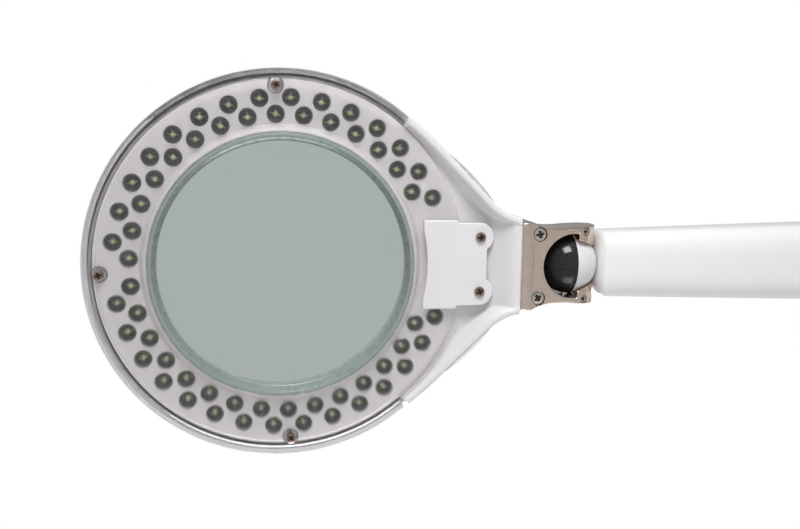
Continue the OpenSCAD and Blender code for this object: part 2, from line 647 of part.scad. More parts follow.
clamp_frame();
jaw_pad();
swivel_bush();
feed_nut();
pressure_pad();
pad_rubber();
clamp_screw();
tommy_bar();
bar_caps();
swivel_post();
shoulder_bracket();
shoulder_drum();
shoulder_bolt();
shoulder_discs();
shoulder_knob();
lower_bars();
lower_pins();
lower_cover_front();
lower_cover_back();
lower_cover_screws();
lower_springs();
lower_strap();
cord_gland();
elbow_bolt();
elbow_drum();
elbow_discs();
elbow_knob();
upper_bars();
upper_pins();
upper_cover_top();
upper_cover_bottom();
upper_cover_screws();
upper_springs();
upper_strap();
arm_tip_block();
ball_hub();
ball_nose();
tilt_axle();
roll_stem();
roll_nut();
head_housing();
lens();
lens_gasket();
lens_retaining_ring();
led_board();
leds();
reflector_plate();
clear_cover();
cover_screws();
neck_cover_plate();
neck_plate_screws();
driver_board();
switch_housing();
rocker_button();
yoke_front();
yoke_rear();
yoke_neck_screws();
yoke_end_screws();
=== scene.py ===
import math
import random

import bmesh
import bpy
import numpy as np
from mathutils import Matrix, Vector
from mathutils.geometry import delaunay_2d_cdt
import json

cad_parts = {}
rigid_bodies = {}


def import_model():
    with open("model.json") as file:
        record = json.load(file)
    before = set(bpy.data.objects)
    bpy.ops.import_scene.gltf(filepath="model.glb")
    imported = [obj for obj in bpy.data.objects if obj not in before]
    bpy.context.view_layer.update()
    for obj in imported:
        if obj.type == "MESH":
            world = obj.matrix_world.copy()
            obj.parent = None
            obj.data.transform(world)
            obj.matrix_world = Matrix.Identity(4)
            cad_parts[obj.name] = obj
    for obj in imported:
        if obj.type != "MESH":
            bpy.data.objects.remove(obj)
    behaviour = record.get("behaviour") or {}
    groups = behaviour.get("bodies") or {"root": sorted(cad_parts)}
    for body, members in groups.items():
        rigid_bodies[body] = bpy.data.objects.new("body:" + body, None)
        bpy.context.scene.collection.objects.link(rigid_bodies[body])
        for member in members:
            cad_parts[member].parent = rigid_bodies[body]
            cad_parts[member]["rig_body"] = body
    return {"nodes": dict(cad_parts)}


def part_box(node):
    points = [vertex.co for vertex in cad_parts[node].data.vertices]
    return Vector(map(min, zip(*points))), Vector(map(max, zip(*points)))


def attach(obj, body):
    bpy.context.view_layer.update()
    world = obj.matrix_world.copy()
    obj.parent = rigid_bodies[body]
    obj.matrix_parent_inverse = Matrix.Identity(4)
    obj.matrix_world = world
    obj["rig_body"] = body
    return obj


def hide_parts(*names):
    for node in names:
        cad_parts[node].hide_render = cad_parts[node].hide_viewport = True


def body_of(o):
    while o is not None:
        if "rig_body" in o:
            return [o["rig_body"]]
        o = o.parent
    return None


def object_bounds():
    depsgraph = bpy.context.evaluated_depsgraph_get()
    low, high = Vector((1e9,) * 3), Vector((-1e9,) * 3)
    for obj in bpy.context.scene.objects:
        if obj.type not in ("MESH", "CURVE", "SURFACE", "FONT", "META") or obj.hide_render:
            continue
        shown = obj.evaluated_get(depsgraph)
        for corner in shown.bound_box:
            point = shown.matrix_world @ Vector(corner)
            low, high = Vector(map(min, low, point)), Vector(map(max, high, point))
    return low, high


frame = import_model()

cad_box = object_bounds()
random.seed(7)
MM = 0.001
TAU = 2 * math.pi


# ---------- places ----------
def centre(node):
    """The middle of a CAD node's box, in millimetres."""
    low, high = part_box(node)
    return (low + high) / 2 / MM


LENS, BALL = centre("lens"), centre("tilt_axle")
ELBOW, SHOULDER = centre("elbow_drum"), centre("shoulder_drum")
LENS_MID = -3.5          # height of the lens's middle in the head's frame
ARM = (ELBOW - SHOULDER).length
LEAN = math.atan2(ELBOW.x - SHOULDER.x, ELBOW.z - SHOULDER.z)
WORLD = Matrix.Identity(4)
TO_X = Matrix.Rotation(math.pi / 2, 4, "Y")      # lays a lathe's axis along X
HEAD = Matrix.Translation((LENS.x, 0, LENS.z + LENS_MID)) @ Matrix.Rotation(math.pi, 4, "X")
UPPER = Matrix.Translation((BALL.x, 0, BALL.z))
LOWER = Matrix.Translation((SHOULDER.x, 0, SHOULDER.z)) @ Matrix.Rotation(LEAN - math.pi / 2, 4, "Y")
AT_SHOULDER = Matrix.Translation((SHOULDER.x, 0, SHOULDER.z))
AT_ELBOW = Matrix.Translation((ELBOW.x, 0, ELBOW.z))

# ---------- dimensions shared with the frame ----------
HEAD_R, TUBE_R, SEAT_R, WALL = 93.2, 63.4, 60.0, 2.2
BACK, RIM_LOW, FACE_R = -24.0, -3.0, 88.4
NECK_END, NECK_HALF, FILLET = 115.0, 23.4, 25.0
BLEND_AT, BLEND_R, CHEEK, RIM_END = 60.0, 145.0, 43.0, 50.0
PLATE_TURN, LED_STEP, LED_COUNT = 2.3, 10.55, 30
RING_IN, RING_OUT, LED_R, WELL_R = 72.0, 79.8, 3.9, 4.2
OUTER_AT = 179.9         # middle of the outer ring of lights, in degrees
LENS_R, LENS_CURVE = 63, 347
NECK_SCREW, END_SCREW = (124, 15.8), (148, 16.8)
YOKE_HOLES = ((NECK_SCREW, 3.5), (END_SCREW, 1.9))
COVER_SCREW_R, BALL_H, YOKE_T, BALL_R = 85.3, 1.0, 13.2, 15.2
BOARD_TOP = -3.0


# ---------- materials ----------
def fill(node, **values):
    """Sets a shader node's inputs by name, with _ for a space."""
    for key, value in values.items():
        node.inputs[key.replace("_", " ")].default_value = value
    return node


class Mat:
    """A procedural material on one Principled shader, in object coordinates (metres)."""

    def __init__(self, name, colour, rough, metal=0.0, **sockets):
        self.mat = bpy.data.materials.new(name)
        self.mat.use_nodes = True
        self.nt = self.mat.node_tree
        self.p = self.nt.nodes["Principled BSDF"]
        fill(self.p, Base_Color=(*colour, 1), Roughness=rough, Metallic=metal, **sockets)
        self.coord = self.node("ShaderNodeTexCoord")
        self.normal = None

    def node(self, kind, **values):
        n = self.nt.nodes.new(kind)
        for key, value in values.items():
            setattr(n, key, value)
        return n

    def link(self, a, b):
        self.nt.links.new(a, b)

    def noise(self, scale, detail=3.0, stretch=None, rough=0.5):
        n = fill(self.node("ShaderNodeTexNoise"), Scale=scale, Detail=detail, Roughness=rough)
        source = self.coord.outputs["Object"]
        if stretch:
            mapping = fill(self.node("ShaderNodeMapping"), Scale=stretch)
            self.link(source, mapping.inputs["Vector"])
            source = mapping.outputs["Vector"]
        self.link(source, n.inputs["Vector"])
        return n.outputs["Fac"]

    def remap(self, fac, low, high, start=0.3, end=0.7):
        n = fill(self.node("ShaderNodeMapRange"), From_Min=start, From_Max=end, To_Min=low, To_Max=high)
        self.link(fac, n.inputs["Value"])
        return n.outputs["Result"]

    def tint(self, fac, a, b):
        """Base colour from a to b by fac."""
        n = self.node("ShaderNodeMix", data_type="RGBA")
        n.inputs["A"].default_value = (*a, 1)
        n.inputs["B"].default_value = (*b, 1)
        self.link(fac, n.inputs["Factor"])
        self.link(n.outputs["Result"], self.p.inputs["Base Color"])
        return n.outputs["Result"]

    def rough(self, fac, low, high):
        self.link(self.remap(fac, low, high), self.p.inputs["Roughness"])

    def bump(self, fac, strength, distance):
        n = fill(self.node("ShaderNodeBump"), Strength=strength, Distance=distance)
        self.link(fac, n.inputs["Height"])
        if self.normal:
            self.link(self.normal, n.inputs["Normal"])
        self.normal = n.outputs["Normal"]
        self.link(self.normal, self.p.inputs["Normal"])


def plastic(name, a, b, rough, grain, depth, blotch=60.0, **sockets):
    """Moulded plastic: faint colour drift, uneven gloss and a fine skin texture."""
    m = Mat(name, a, rough, **sockets)
    m.tint(m.remap(m.noise(blotch, 4.0), 0, 1), a, b)
    m.rough(m.noise(blotch * 4, 4.0), rough - 0.05, rough + 0.06)
    m.bump(m.noise(grain, 2.0), 0.6, depth)
    return m.mat


def metal(name, a, b, rough, stretch, depth, **sockets):
    """Metal with brushed or cast texture and faint stains."""
    m = Mat(name, a, rough, 1.0, **sockets)
    m.tint(m.remap(m.noise(220.0, 6.0, rough=0.65), 0, 1), a, b)
    brushed = m.noise(900.0, 4.0, stretch=stretch)
    m.rough(brushed, rough - 0.07, rough + 0.1)
    m.bump(brushed, 0.5, depth)
    return m.mat


def clear(name, colour, ior, scratch, through=0.0, **sockets):
    """Clear plastic or glass with faint wipe marks. through is the share of light let straight on."""
    m = Mat(name, colour, 0.02, Transmission_Weight=1.0, IOR=ior, **sockets)
    marks = m.noise(700.0, 5.0, stretch=(1, 0.12, 1))
    m.link(m.remap(marks, 0.005, scratch, 0.45, 0.75), m.p.inputs["Roughness"])
    m.bump(m.noise(45.0, 1.0), 0.15, 0.0001)
    if through:
        mix, straight = m.node("ShaderNodeMixShader"), m.node("ShaderNodeBsdfTransparent")
        mix.inputs["Fac"].default_value = through
        m.link(m.p.outputs["BSDF"], mix.inputs[1])
        m.link(straight.outputs["BSDF"], mix.inputs[2])
        m.link(mix.outputs["Shader"], m.nt.nodes["Material Output"].inputs["Surface"])
    return m.mat


WHITE = plastic("white_moulding", (0.745, 0.73, 0.745), (0.715, 0.70, 0.72), 0.33, 2600.0, 0.00002)
PLATE = plastic("reflector_white", (0.83, 0.79, 0.785), (0.79, 0.755, 0.75), 0.42, 1500.0, 0.00003)
PAINT = plastic("arm_paint", (0.84, 0.84, 0.84), (0.82, 0.82, 0.82), 0.34, 2600.0, 0.00001,
                Coat_Weight=0.35, Coat_Roughness=0.12)
CAST = plastic("cast_paint", (0.80, 0.80, 0.81), (0.74, 0.74, 0.75), 0.36, 700.0, 0.00012,
               Coat_Weight=0.25, Coat_Roughness=0.15)
CLEAR = clear("clear_plastic", (0.96, 0.955, 0.975), 1.49, 0.05, 0.55)
GLASS = clear("lens_glass", (0.90, 1.0, 0.98), 1.52, 0.02)
RESIN = clear("led_resin", (0.80, 0.83, 0.79), 1.5, 0.04, 0.25)
GREY_RING = plastic("lens_ring_grey", (0.27, 0.315, 0.30), (0.24, 0.285, 0.27), 0.28, 2200.0, 0.00002)
CHAMPAGNE = metal("champagne_nickel", (0.72, 0.60, 0.51), (0.66, 0.54, 0.455), 0.20, (0.25, 0.9, 1), 0.000006)
STEEL = metal("zinc_steel", (0.62, 0.63, 0.64), (0.50, 0.51, 0.53), 0.30, (0.2, 1, 1), 0.00004)
PLATED = metal("bright_screw", (0.66, 0.63, 0.60), (0.50, 0.46, 0.43), 0.22, (1, 1, 1), 0.00002)
BROWN = metal("brown_screw", (0.42, 0.33, 0.27), (0.25, 0.17, 0.13), 0.30, (1, 1, 1), 0.00004)
# painted shade: a near-black colour for the screws' cross recesses, standing in for the shade that falls
# inside them
RECESS_SHADE = metal("screw_recess_shade", (0.10, 0.075, 0.06), (0.06, 0.045, 0.035), 0.45, (1, 1, 1), 0.00004)
SPRING = metal("spring_steel", (0.42, 0.42, 0.43), (0.30, 0.30, 0.31), 0.35, (1, 1, 1), 0.00003)
BRASS = metal("brass", (0.78, 0.58, 0.28), (0.62, 0.44, 0.20), 0.30, (1, 1, 0.3), 0.00003)
BLACK = plastic("gloss_black", (0.012, 0.012, 0.013), (0.022, 0.021, 0.022), 0.14, 900.0, 0.00001,
                Specular_IOR_Level=0.35)
KNOB = plastic("knob_black", (0.022, 0.022, 0.024), (0.035, 0.034, 0.036), 0.42, 1600.0, 0.00012)
RUBBER = plastic("black_rubber", (0.03, 0.03, 0.031), (0.05, 0.049, 0.048), 0.75, 1100.0, 0.0002)
GREY = plastic("grey_plastic", (0.22, 0.22, 0.225), (0.28, 0.28, 0.285), 0.5, 1300.0, 0.0001)
NYLON = plastic("nylon", (0.72, 0.69, 0.60), (0.66, 0.63, 0.53), 0.45, 900.0, 0.00006)
PHOSPHOR = plastic("phosphor", (0.95, 0.93, 0.58), (0.90, 0.88, 0.50), 0.5, 3000.0, 0.00005)
LEADS = metal("led_lead_frame", (0.80, 0.77, 0.60), (0.62, 0.60, 0.48), 0.3, (1, 1, 1), 0.00002)


def board_material():
    """Dark green solder mask with fine copper tracks under it."""
    m = Mat("light_board", (0.02, 0.05, 0.04), 0.35)
    tracks = fill(m.node("ShaderNodeTexVoronoi", feature="DISTANCE_TO_EDGE"), Scale=420.0)
    m.link(m.coord.outputs["Object"], tracks.inputs["Vector"])
    lines = m.remap(tracks.outputs["Distance"], 1, 0, 0.02, 0.05)
    m.tint(lines, (0.045, 0.06, 0.05), (0.085, 0.11, 0.09))
    m.rough(m.noise(600.0), 0.3, 0.45)
    m.bump(lines, 0.4, 0.00005)
    return m.mat


BOARD = board_material()


# ---------- meshes ----------
BOX_FACES = [(0, 1, 3, 2), (4, 6, 7, 5), (0, 4, 5, 1), (2, 3, 7, 6), (0, 2, 6, 4), (1, 5, 7, 3)]


def put(name, data):
    """A new object in the scene."""
    ob = bpy.data.objects.new(name, data)
    bpy.context.scene.collection.objects.link(ob)
    return ob


def baked(ob):
    """The object's mesh with its modifiers applied."""
    deps = bpy.context.evaluated_depsgraph_get()
    return bpy.data.meshes.new_from_object(ob.evaluated_get(deps))


def skin(rows):
    """Faces between neighbouring rings of vertex numbers, with repeated corners dropped."""
    faces = []
    for a, b in zip(rows, rows[1:]):
        for k in range(len(a)):
            j = (k + 1) % len(a)
            face = [a[k], a[j], b[j], b[k]]
            face = [x for i, x in enumerate(face) if x != face[i - 1]]
            if len(set(face)) > 2:
                faces.append(tuple(face))
    return faces


def tube(k, n, count=None):
    """Faces of k rings of n vertices, closed on itself unless count bands are asked for."""
    return [(i * n + j, i * n + (j + 1) % n, ((i + 1) % k) * n + (j + 1) % n, ((i + 1) % k) * n + j)
            for i in range(k if count is None else count) for j in range(n)]


def rod(count, n):
    """Faces of count bands of n vertices, with an end face at each end."""
    return tube(count + 1, n, count) + [tuple(range(n)), tuple(count * n + k for k in range(n))]


def slab(tris, n):
    """A sheet of triangles, its copy n vertices on, and sides along their open edges."""
    sides = [(t[i - 1], t[i]) for t in tris for i in range(3)]
    both = set(sides)
    faces = [tuple(t) for t in tris] + [tuple(n + i for i in reversed(t)) for t in tris]
    return faces + [(b, a, n + a, n + b) for a, b in sides if (b, a) not in both]


class Shape:
    """Vertices (millimetres, in a local frame), faces and a material index for each face."""

    def __init__(self):
        self.v, self.f, self.m = [], [], []

    def add(self, verts, faces, mat=0, at=None):
        base = len(self.v)
        if at is not None:
            verts = [tuple(at @ Vector(p)) for p in verts]
        self.v.extend(tuple(float(c) for c in p) for p in verts)
        self.f.extend(tuple(base + i for i in face) for face in faces)
        self.m.extend([mat] * len(faces))
        return self

    def lathe(self, profile, n=96, mat=0, at=None, closed=True):
        """Turns a profile of (radius, height) about Z. A closed one is a loop."""
        verts, rows = [], []
        for r, z in profile:
            if abs(r) < 1e-6:
                rows.append([len(verts)] * n)
                verts.append((0, 0, z))
            else:
                rows.append(list(range(len(verts), len(verts) + n)))
                verts += [(r * math.cos(TAU * k / n), r * math.sin(TAU * k / n), z) for k in range(n)]
        return self.add(verts, skin(rows + rows[:1] if closed else rows), mat, at)

    def mesh(self, name, place, mats):
        """The mesh in the scene's metres, with its materials."""
        me = bpy.data.meshes.new(name)
        to_world = Matrix.Scale(MM, 4) @ place
        me.from_pydata([to_world @ Vector(p) for p in self.v], [], self.f)
        for m in mats if isinstance(mats, list) else [mats]:
            me.materials.append(m)
        me.polygons.foreach_set("material_index", self.m)
        return me

    def make(self, name, place, mats, body, nodes, slot_name, sharp=35.0):
        """Makes the finished piece; place turns local millimetres into the scene's."""
        return finish_piece(name, self.mesh(name, place, mats), body, nodes, sharp)


def finish_piece(name, me, body, nodes, sharp=35.0, flat=False):
    """Names, places and shades a piece. flat keeps broad faces level up to their rounded edges."""
    bm = bmesh.new()
    bm.from_mesh(me)
    bmesh.ops.remove_doubles(bm, verts=bm.verts, dist=1e-7)
    bmesh.ops.dissolve_degenerate(bm, edges=bm.edges, dist=1e-8)
    bmesh.ops.recalc_face_normals(bm, faces=bm.faces)
    bm.to_mesh(me)
    bm.free()
    me.shade_smooth()
    me.set_sharp_from_angle(angle=math.radians(sharp))
    ob = put(name, me)
    if flat:
        mod = ob.modifiers.new("level", "WEIGHTED_NORMAL")
        mod.keep_sharp, mod.weight = True, 90
        ob.data = baked(ob)
        ob.modifiers.clear()
    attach(ob, body)
    if nodes:
        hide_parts(*nodes)
    return ob


def soft(points, r, n=4, closed=True):
    """Rounds the corners of a 2D path with radius r, or less where a side is short."""
    out, count = [], len(points)
    for i, p in enumerate(points):
        p = np.array(p, float)
        if not closed and i in (0, count - 1):
            out.append(tuple(p))
            continue
        a, b = np.array(points[i - 1], float), np.array(points[(i + 1) % count], float)
        u, w = a - p, b - p
        lu, lw = np.linalg.norm(u), np.linalg.norm(w)
        if lu < 1e-9 or lw < 1e-9:
            continue
        u, w = u / lu, w / lw
        half = math.acos(max(-1, min(1, float(u @ w)))) / 2
        if half > math.radians(85) or half < math.radians(3):
            out.append(tuple(p))
            continue
        reach = min(r / math.tan(half), 0.45 * lu, 0.45 * lw)
        rr = reach * math.tan(half)
        c = p + (u + w) / np.linalg.norm(u + w) * rr / math.sin(half)
        s, e = p + u * reach - c, p + w * reach - c
        a0 = math.atan2(s[1], s[0])
        da = (math.atan2(e[1], e[0]) - a0 + math.pi) % TAU - math.pi
        out += [tuple(c + rr * np.array([math.cos(a0 + da * k / n), math.sin(a0 + da * k / n)]))
                for k in range(n + 1)]
    return out


ROUND_FROM, SHARP_FROM = 32.0, 38.0      # degrees between faces: rounded off, and left sharp after it


def rounded(node, mat, width, segments):
    """A copy of a CAD node with its sharp edges broken by a small round, in its place."""
    src = frame["nodes"][node]
    me = src.data.copy()
    me.materials.clear()
    me.materials.append(mat)
    bm = bmesh.new()
    bm.from_mesh(me)
    bm.transform(src.matrix_world)
    bmesh.ops.remove_doubles(bm, verts=bm.verts, dist=2e-6)
    bmesh.ops.dissolve_limit(bm, angle_limit=math.radians(0.4), verts=bm.verts, edges=bm.edges)
    for face in bm.faces:
        face.material_index = 0
    bmesh.ops.recalc_face_normals(bm, faces=bm.faces)
    bm.to_mesh(me)
    bm.free()
    stale = ("custom_normal", "sharp_edge", "sharp_face")
    for name in [a.name for a in me.attributes if a.name in stale]:
        me.attributes.remove(me.attributes[name])
    ob = put(node + "_made", me)
    mod = ob.modifiers.new("round", "BEVEL")
    mod.width, mod.segments, mod.limit_method = width * MM, segments, "ANGLE"
    mod.angle_limit = math.radians(ROUND_FROM)
    mod.use_clamp_overlap = False
    new = baked(ob)
    bpy.data.objects.remove(ob)
    return finish_piece(node + "_made", new, body_of(src)[0], [node], SHARP_FROM, True)


def dress(node, mat):
    """A better material on a CAD node that stays."""
    ob = frame["nodes"][node]
    if not ob.material_slots:
        ob.data.materials.append(mat)
    for s in ob.material_slots:
        s.link = "OBJECT"
        s.material = mat


# ---------- head ----------
def turned(a):
    """The unit vector at a degrees."""
    return np.array([math.cos(math.radians(a)), math.sin(math.radians(a))])


def arc(c, r, a, b, n):
    """n steps of a circle's arc from a to b degrees."""
    return [tuple(np.array(c) + r * turned(a + (b - a) * i / n)) for i in range(n + 1)]


def half_outline():
    """Half of the head's outline, from the neck's end round to the back of the circle."""
    blend_c = (HEAD_R - BLEND_R) * turned(BLEND_AT)
    reach = blend_c @ turned(CHEEK) + BLEND_R
    fil_y = NECK_HALF + FILLET
    fil_x = (reach + FILLET - fil_y * math.sin(math.radians(CHEEK))) / math.cos(math.radians(CHEEK))
    fillet = arc((fil_x, fil_y), FILLET, 268, 180 + CHEEK, 40)
    blend = arc(blend_c, BLEND_R, CHEEK, BLEND_AT, 40)
    return np.array([(NECK_END, NECK_HALF)] + fillet + blend
                    + arc((0, 0), HEAD_R, BLEND_AT + 0.5, 180, 120))


def smooth_table(xs, ys, sigma):
    """A table read with linear steps, then smoothed over sigma millimetres."""
    grid = np.arange(-100, 125, 0.25)
    values = np.interp(grid, xs, ys)
    kernel = np.exp(-0.5 * (np.arange(-40, 41) * 0.25 / sigma) ** 2)
    padded = np.pad(values, 40, mode="edge")
    values = np.convolve(padded, kernel / kernel.sum(), "valid")
    return lambda x: np.interp(x, grid, values)


def step(x, a, b):
    """Rises smoothly from 0 at a to 1 at b."""
    t = np.clip((x - a) / (b - a), 0, 1)
    return t * t * (3 - 2 * t)


def smooth_max(a, b, k):
    """The larger of two, blended where they are within k."""
    h = np.clip(0.5 + 0.5 * (a - b) / k, 0, 1)
    return b + (a - b) * h + k * h * (1 - h)


OUTLINE = half_outline()
CHEEK_TOP = smooth_table([50, 66, 78, 92, 108, 115], [4.3, 4.4, 4.6, 8.0, 12.6, 13.5], 2.5)
FLOOR = smooth_table([50, 90, 97, 102, 106, 110, 113, 125],
                     [-1.5, -1.5, -0.4, 1.6, 5.4, 10.4, 13.0, 13.7], 1.3)
BACK_Z = smooth_table([-100, 78, 96, 108, 115], [BACK, BACK, -19.2, -13.6, -12.2], 3.0)


def edge_distance(x, y):
    """Distance from points to the side outline."""
    p = np.stack([x, np.abs(y)], -1).reshape(-1, 1, 2)
    keep = np.hypot(*(OUTLINE[1:] - OUTLINE[:-1]).T) > 1e-6
    a, b = OUTLINE[None, :-1][:, keep], OUTLINE[None, 1:][:, keep]
    t = np.clip(((p - a) * (b - a)).sum(-1) / ((b - a) ** 2).sum(-1), 0, 1)
    near = a + t[..., None] * (b - a)
    return np.sqrt(((p - near) ** 2).sum(-1)).min(1).reshape(x.shape)


def housing():
    """The moulded housing: a dish with a lens tube, and a neck of two cheeks and a trough."""
    fine, mid, wide = np.arange(-16, 16, 0.2), np.arange(16, 53, 0.5), np.arange(53, 180, 1.5)
    half = np.concatenate([mid, wide])
    corner = math.degrees(math.atan2(NECK_HALF, NECK_END))
    angles = np.unique(np.round(np.concatenate([fine, half, -half, [180, corner, -corner]]), 4))
    rad = np.radians(angles)
    pol_a, pol_r = np.degrees(np.arctan2(OUTLINE[:, 1], OUTLINE[:, 0])), np.hypot(*OUTLINE.T)
    order = np.argsort(pol_a)
    out_r = np.interp(np.abs(angles), pol_a[order], pol_r[order])
    out_r = np.where(np.abs(angles) <= corner, NECK_END / np.cos(rad), out_r)
    in_neck = 1 - step(np.abs(angles), RIM_END - 1.5, RIM_END)
    seat_r = np.where(in_neck > 0.5, FACE_R + 0.15, HEAD_R - WALL)
    rho = 6 + 6 * step(np.abs(angles), 30, 60)
    rows = []

    def row(r, z):
        r = np.broadcast_to(r, rad.shape)
        rows.append(np.stack([r * np.cos(rad), r * np.sin(rad), np.broadcast_to(z, rad.shape)], 1))

    def back_z(r):
        d = np.minimum(edge_distance(r * np.cos(rad), r * np.sin(rad)), rho)
        return BACK_Z(r * np.cos(rad)) + rho - np.sqrt(np.maximum(rho ** 2 - (rho - d) ** 2, 0))

    def top_z(r):
        x, y = r * np.cos(rad), r * np.sin(rad)
        d = edge_distance(x, y)
        cheek = -1.5 + (CHEEK_TOP(x) + 1.5) * (1 - step(d, 2.6, 8.2))
        z = smooth_max(FLOOR(x), cheek, 1.2)
        lip = 1.5
        z = z - lip + np.sqrt(np.maximum(lip ** 2 - (lip - np.minimum(d, lip)) ** 2, 0))
        return RIM_LOW + (z - RIM_LOW) * in_neck

    # the lens tube, from the seat outwards
    for r, z in ((TUBE_R + WALL, WALL + BACK), (TUBE_R + WALL, -1.6), (TUBE_R, -1.6), (TUBE_R, -6),
                 (SEAT_R, -6), (SEAT_R, BACK + 1.2), (SEAT_R + 0.4, BACK + 0.4), (SEAT_R + 1.2, BACK)):
        row(r, z)
    span = out_r - (SEAT_R + 1.2)
    for t in 1 - (1 - np.linspace(0, 1, 34)[1:]) ** 1.7:
        r = SEAT_R + 1.2 + span * t
        row(r, back_z(r))
    low, high = rows[-1][:, 2].copy(), top_z(out_r)
    for t in (0.25, 0.5, 0.75, 0.92, 1):
        row(out_r, low + (high - low) * t)
    insets = [0.06, 0.2, 0.45, 0.8, 1.2, 1.6, 2.0, 2.4, 2.8, 3.3, 3.9, 4.6, 5.4, 6.3, 7.2, 8.2, 9.4]
    room = out_r - seat_r
    full = np.maximum(room, 1e-3)
    for d in insets:
        r = out_r - np.minimum(d * 1.15, full * (d / 12))
        row(r, top_z(r))
    start = np.linalg.norm(rows[-1][:, :2], axis=1)
    for t in np.linspace(0, 1, 15)[1:]:
        r = start + (seat_r - start) * t
        row(r, top_z(r))
    # the hidden inside: under the trough's floor, along the wall and back to the tube
    under = np.where(in_neck > 0.5, -3.9, RIM_LOW - 0.6)
    inner = np.where(in_neck > 0.5, out_r - 3.4, HEAD_R - WALL - 0.05)
    row(seat_r, np.minimum(rows[-1][:, 2] - 0.3, under))
    row(inner, under - 0.05)
    row(inner, np.minimum(back_z(inner) + WALL, under - 0.3))
    for t in (0.3, 0.6, 0.85):
        r = inner + (TUBE_R + WALL + 1 - inner) * t
        row(r, back_z(r) + WALL)
    s = Shape().add(np.concatenate(rows), tube(len(rows), len(rad)))
    for c in BOSSES:
        s.lathe([(0, -21), (3.2, -21), (3.2, 0.0), (3.0, 0.2), (0, 0.2)], 32, 0,
                Matrix.Translation((c[0], c[1], 0)), closed=False)
    ob = s.make("housing_shell", HEAD, WHITE, "head", [], "white_plastic", 50)
    # the way through the back for the switch
    hole = [(x, y, z) for x in (73.6, 94.4) for y in (-7.4, 7.4) for z in (-30, -8.5)]
    me = Shape().add(hole, BOX_FACES).mesh("cut", HEAD, [])
    bm = bmesh.new()
    bm.from_mesh(me)
    bmesh.ops.recalc_face_normals(bm, faces=bm.faces)
    bm.to_mesh(me)
    bm.free()
    tool = put("cut", me)
    mod = ob.modifiers.new("cut", "BOOLEAN")
    mod.operation, mod.object, mod.solver = "DIFFERENCE", tool, "EXACT"
    new = baked(ob)
    ob.modifiers.clear()
    bpy.data.objects.remove(ob)
    bpy.data.objects.remove(tool)
    finish_piece("housing", new, "head", ["head_housing"], 42)


def cover_posts():
    """The tops of the housing's posts under the cover's screws, seen through the plate's holes."""
    s = Shape()
    post = soft([(1.7, -19.0), (3.5, -19.0), (3.5, -1.7), (1.7, -1.7)], 0.25, 3)
    for c in BOSSES:
        s.lathe(post, 36, 0, Matrix.Translation((c[0], c[1], 0)))
    s.make("cover_screw_posts", HEAD, WHITE, "head", ["head_housing"], "white_plastic", 45)


def light_places():
    """Centre of each light, in the head's frame: 30 in each ring, with a gap in the outer one."""
    out = []
    for k in range(LED_COUNT):
        out.append(RING_IN * turned(180 + (k - (LED_COUNT - 1) / 2) * LED_STEP + PLATE_TURN))
    for k in range(LED_COUNT + 1):
        if k != LED_COUNT // 2:
            out.append(RING_OUT * turned(OUTER_AT + (k - LED_COUNT / 2) * LED_STEP + PLATE_TURN))
    return out


LIGHTS = light_places()
BOSSES = [COVER_SCREW_R * turned(a + PLATE_TURN) for a in (90, 180, 270)]


def plate_z(r):
    """Face of the reflector plate: slightly dished towards the lens."""
    return 0.075 * (r - 77)


def reflector():
    """The white plate with a softened well round each light."""
    r_in, r_out = 66.0, FACE_R - 0.2
    pts, edges, kinds = [], [], []

    def loop(c, r, n, kind):
        first = len(pts)
        for i in range(n):
            pts.append(Vector((c[0] + r * math.cos(TAU * i / n), c[1] + r * math.sin(TAU * i / n))))
            kinds.append(kind)
        edges.extend((first + i, first + (i + 1) % n) for i in range(n))

    loop((0, 0), r_out, 240, 0)
    loop((0, 0), r_in, 240, 0)
    holes = [(c, WELL_R, 28) for c in LIGHTS] + [(c, 3.8, 28) for c in BOSSES]
    for c, r, n in holes:
        loop(c, r + 0.5, n, 0)
        loop(c, r + 0.15, n, 1)
        loop(c, r, n, 2)
    for r in np.arange(68.2, 87.8, 2.4):
        n = int(TAU * r / 2.6)
        for i in range(n):
            p = r * turned(360 * i / n)
            if all(np.hypot(*(p - c)) > q + 1.2 for c, q, _ in holes):
                pts.append(Vector(p))
                kinds.append(0)
    v, _, f, origin, _, _ = delaunay_2d_cdt(pts, edges, [], 0, 1e-6)
    kind = [max([kinds[i] for i in o] or [0]) for o in origin]
    flat = np.array([tuple(p) for p in v])
    faces = []
    for tri in f:
        c = flat[list(tri)].mean(0)
        r = np.hypot(*c)
        if r_in * 0.9999 < r < r_out and all(np.hypot(*(c - h)) > q * 0.995 for h, q, _ in holes):
            faces.append(tuple(tri))
    z = plate_z(np.hypot(*flat.T)) - np.array([(0, 0.06, 0.3)[k] for k in kind])
    top = [(p[0], p[1], h) for p, h in zip(flat, z)]
    low = [(p[0], p[1], -1.6) for p in flat]
    s = Shape().add(top + low, slab(faces, len(top)))
    # the lip that stands round the lens
    lip = [(TUBE_R + 0.1, -1.55), (66.3, -1.55), (67.6, plate_z(67.6) + 0.05), (66.4, 0.5), (65.4, 2.0),
           (64.6, 2.6), (TUBE_R + 0.1, 2.6)]
    s.lathe(soft(lip, 0.45, 4), 240)
    s.make("reflector", HEAD, PLATE, "head", ["reflector_plate"], "white_plastic", 50)


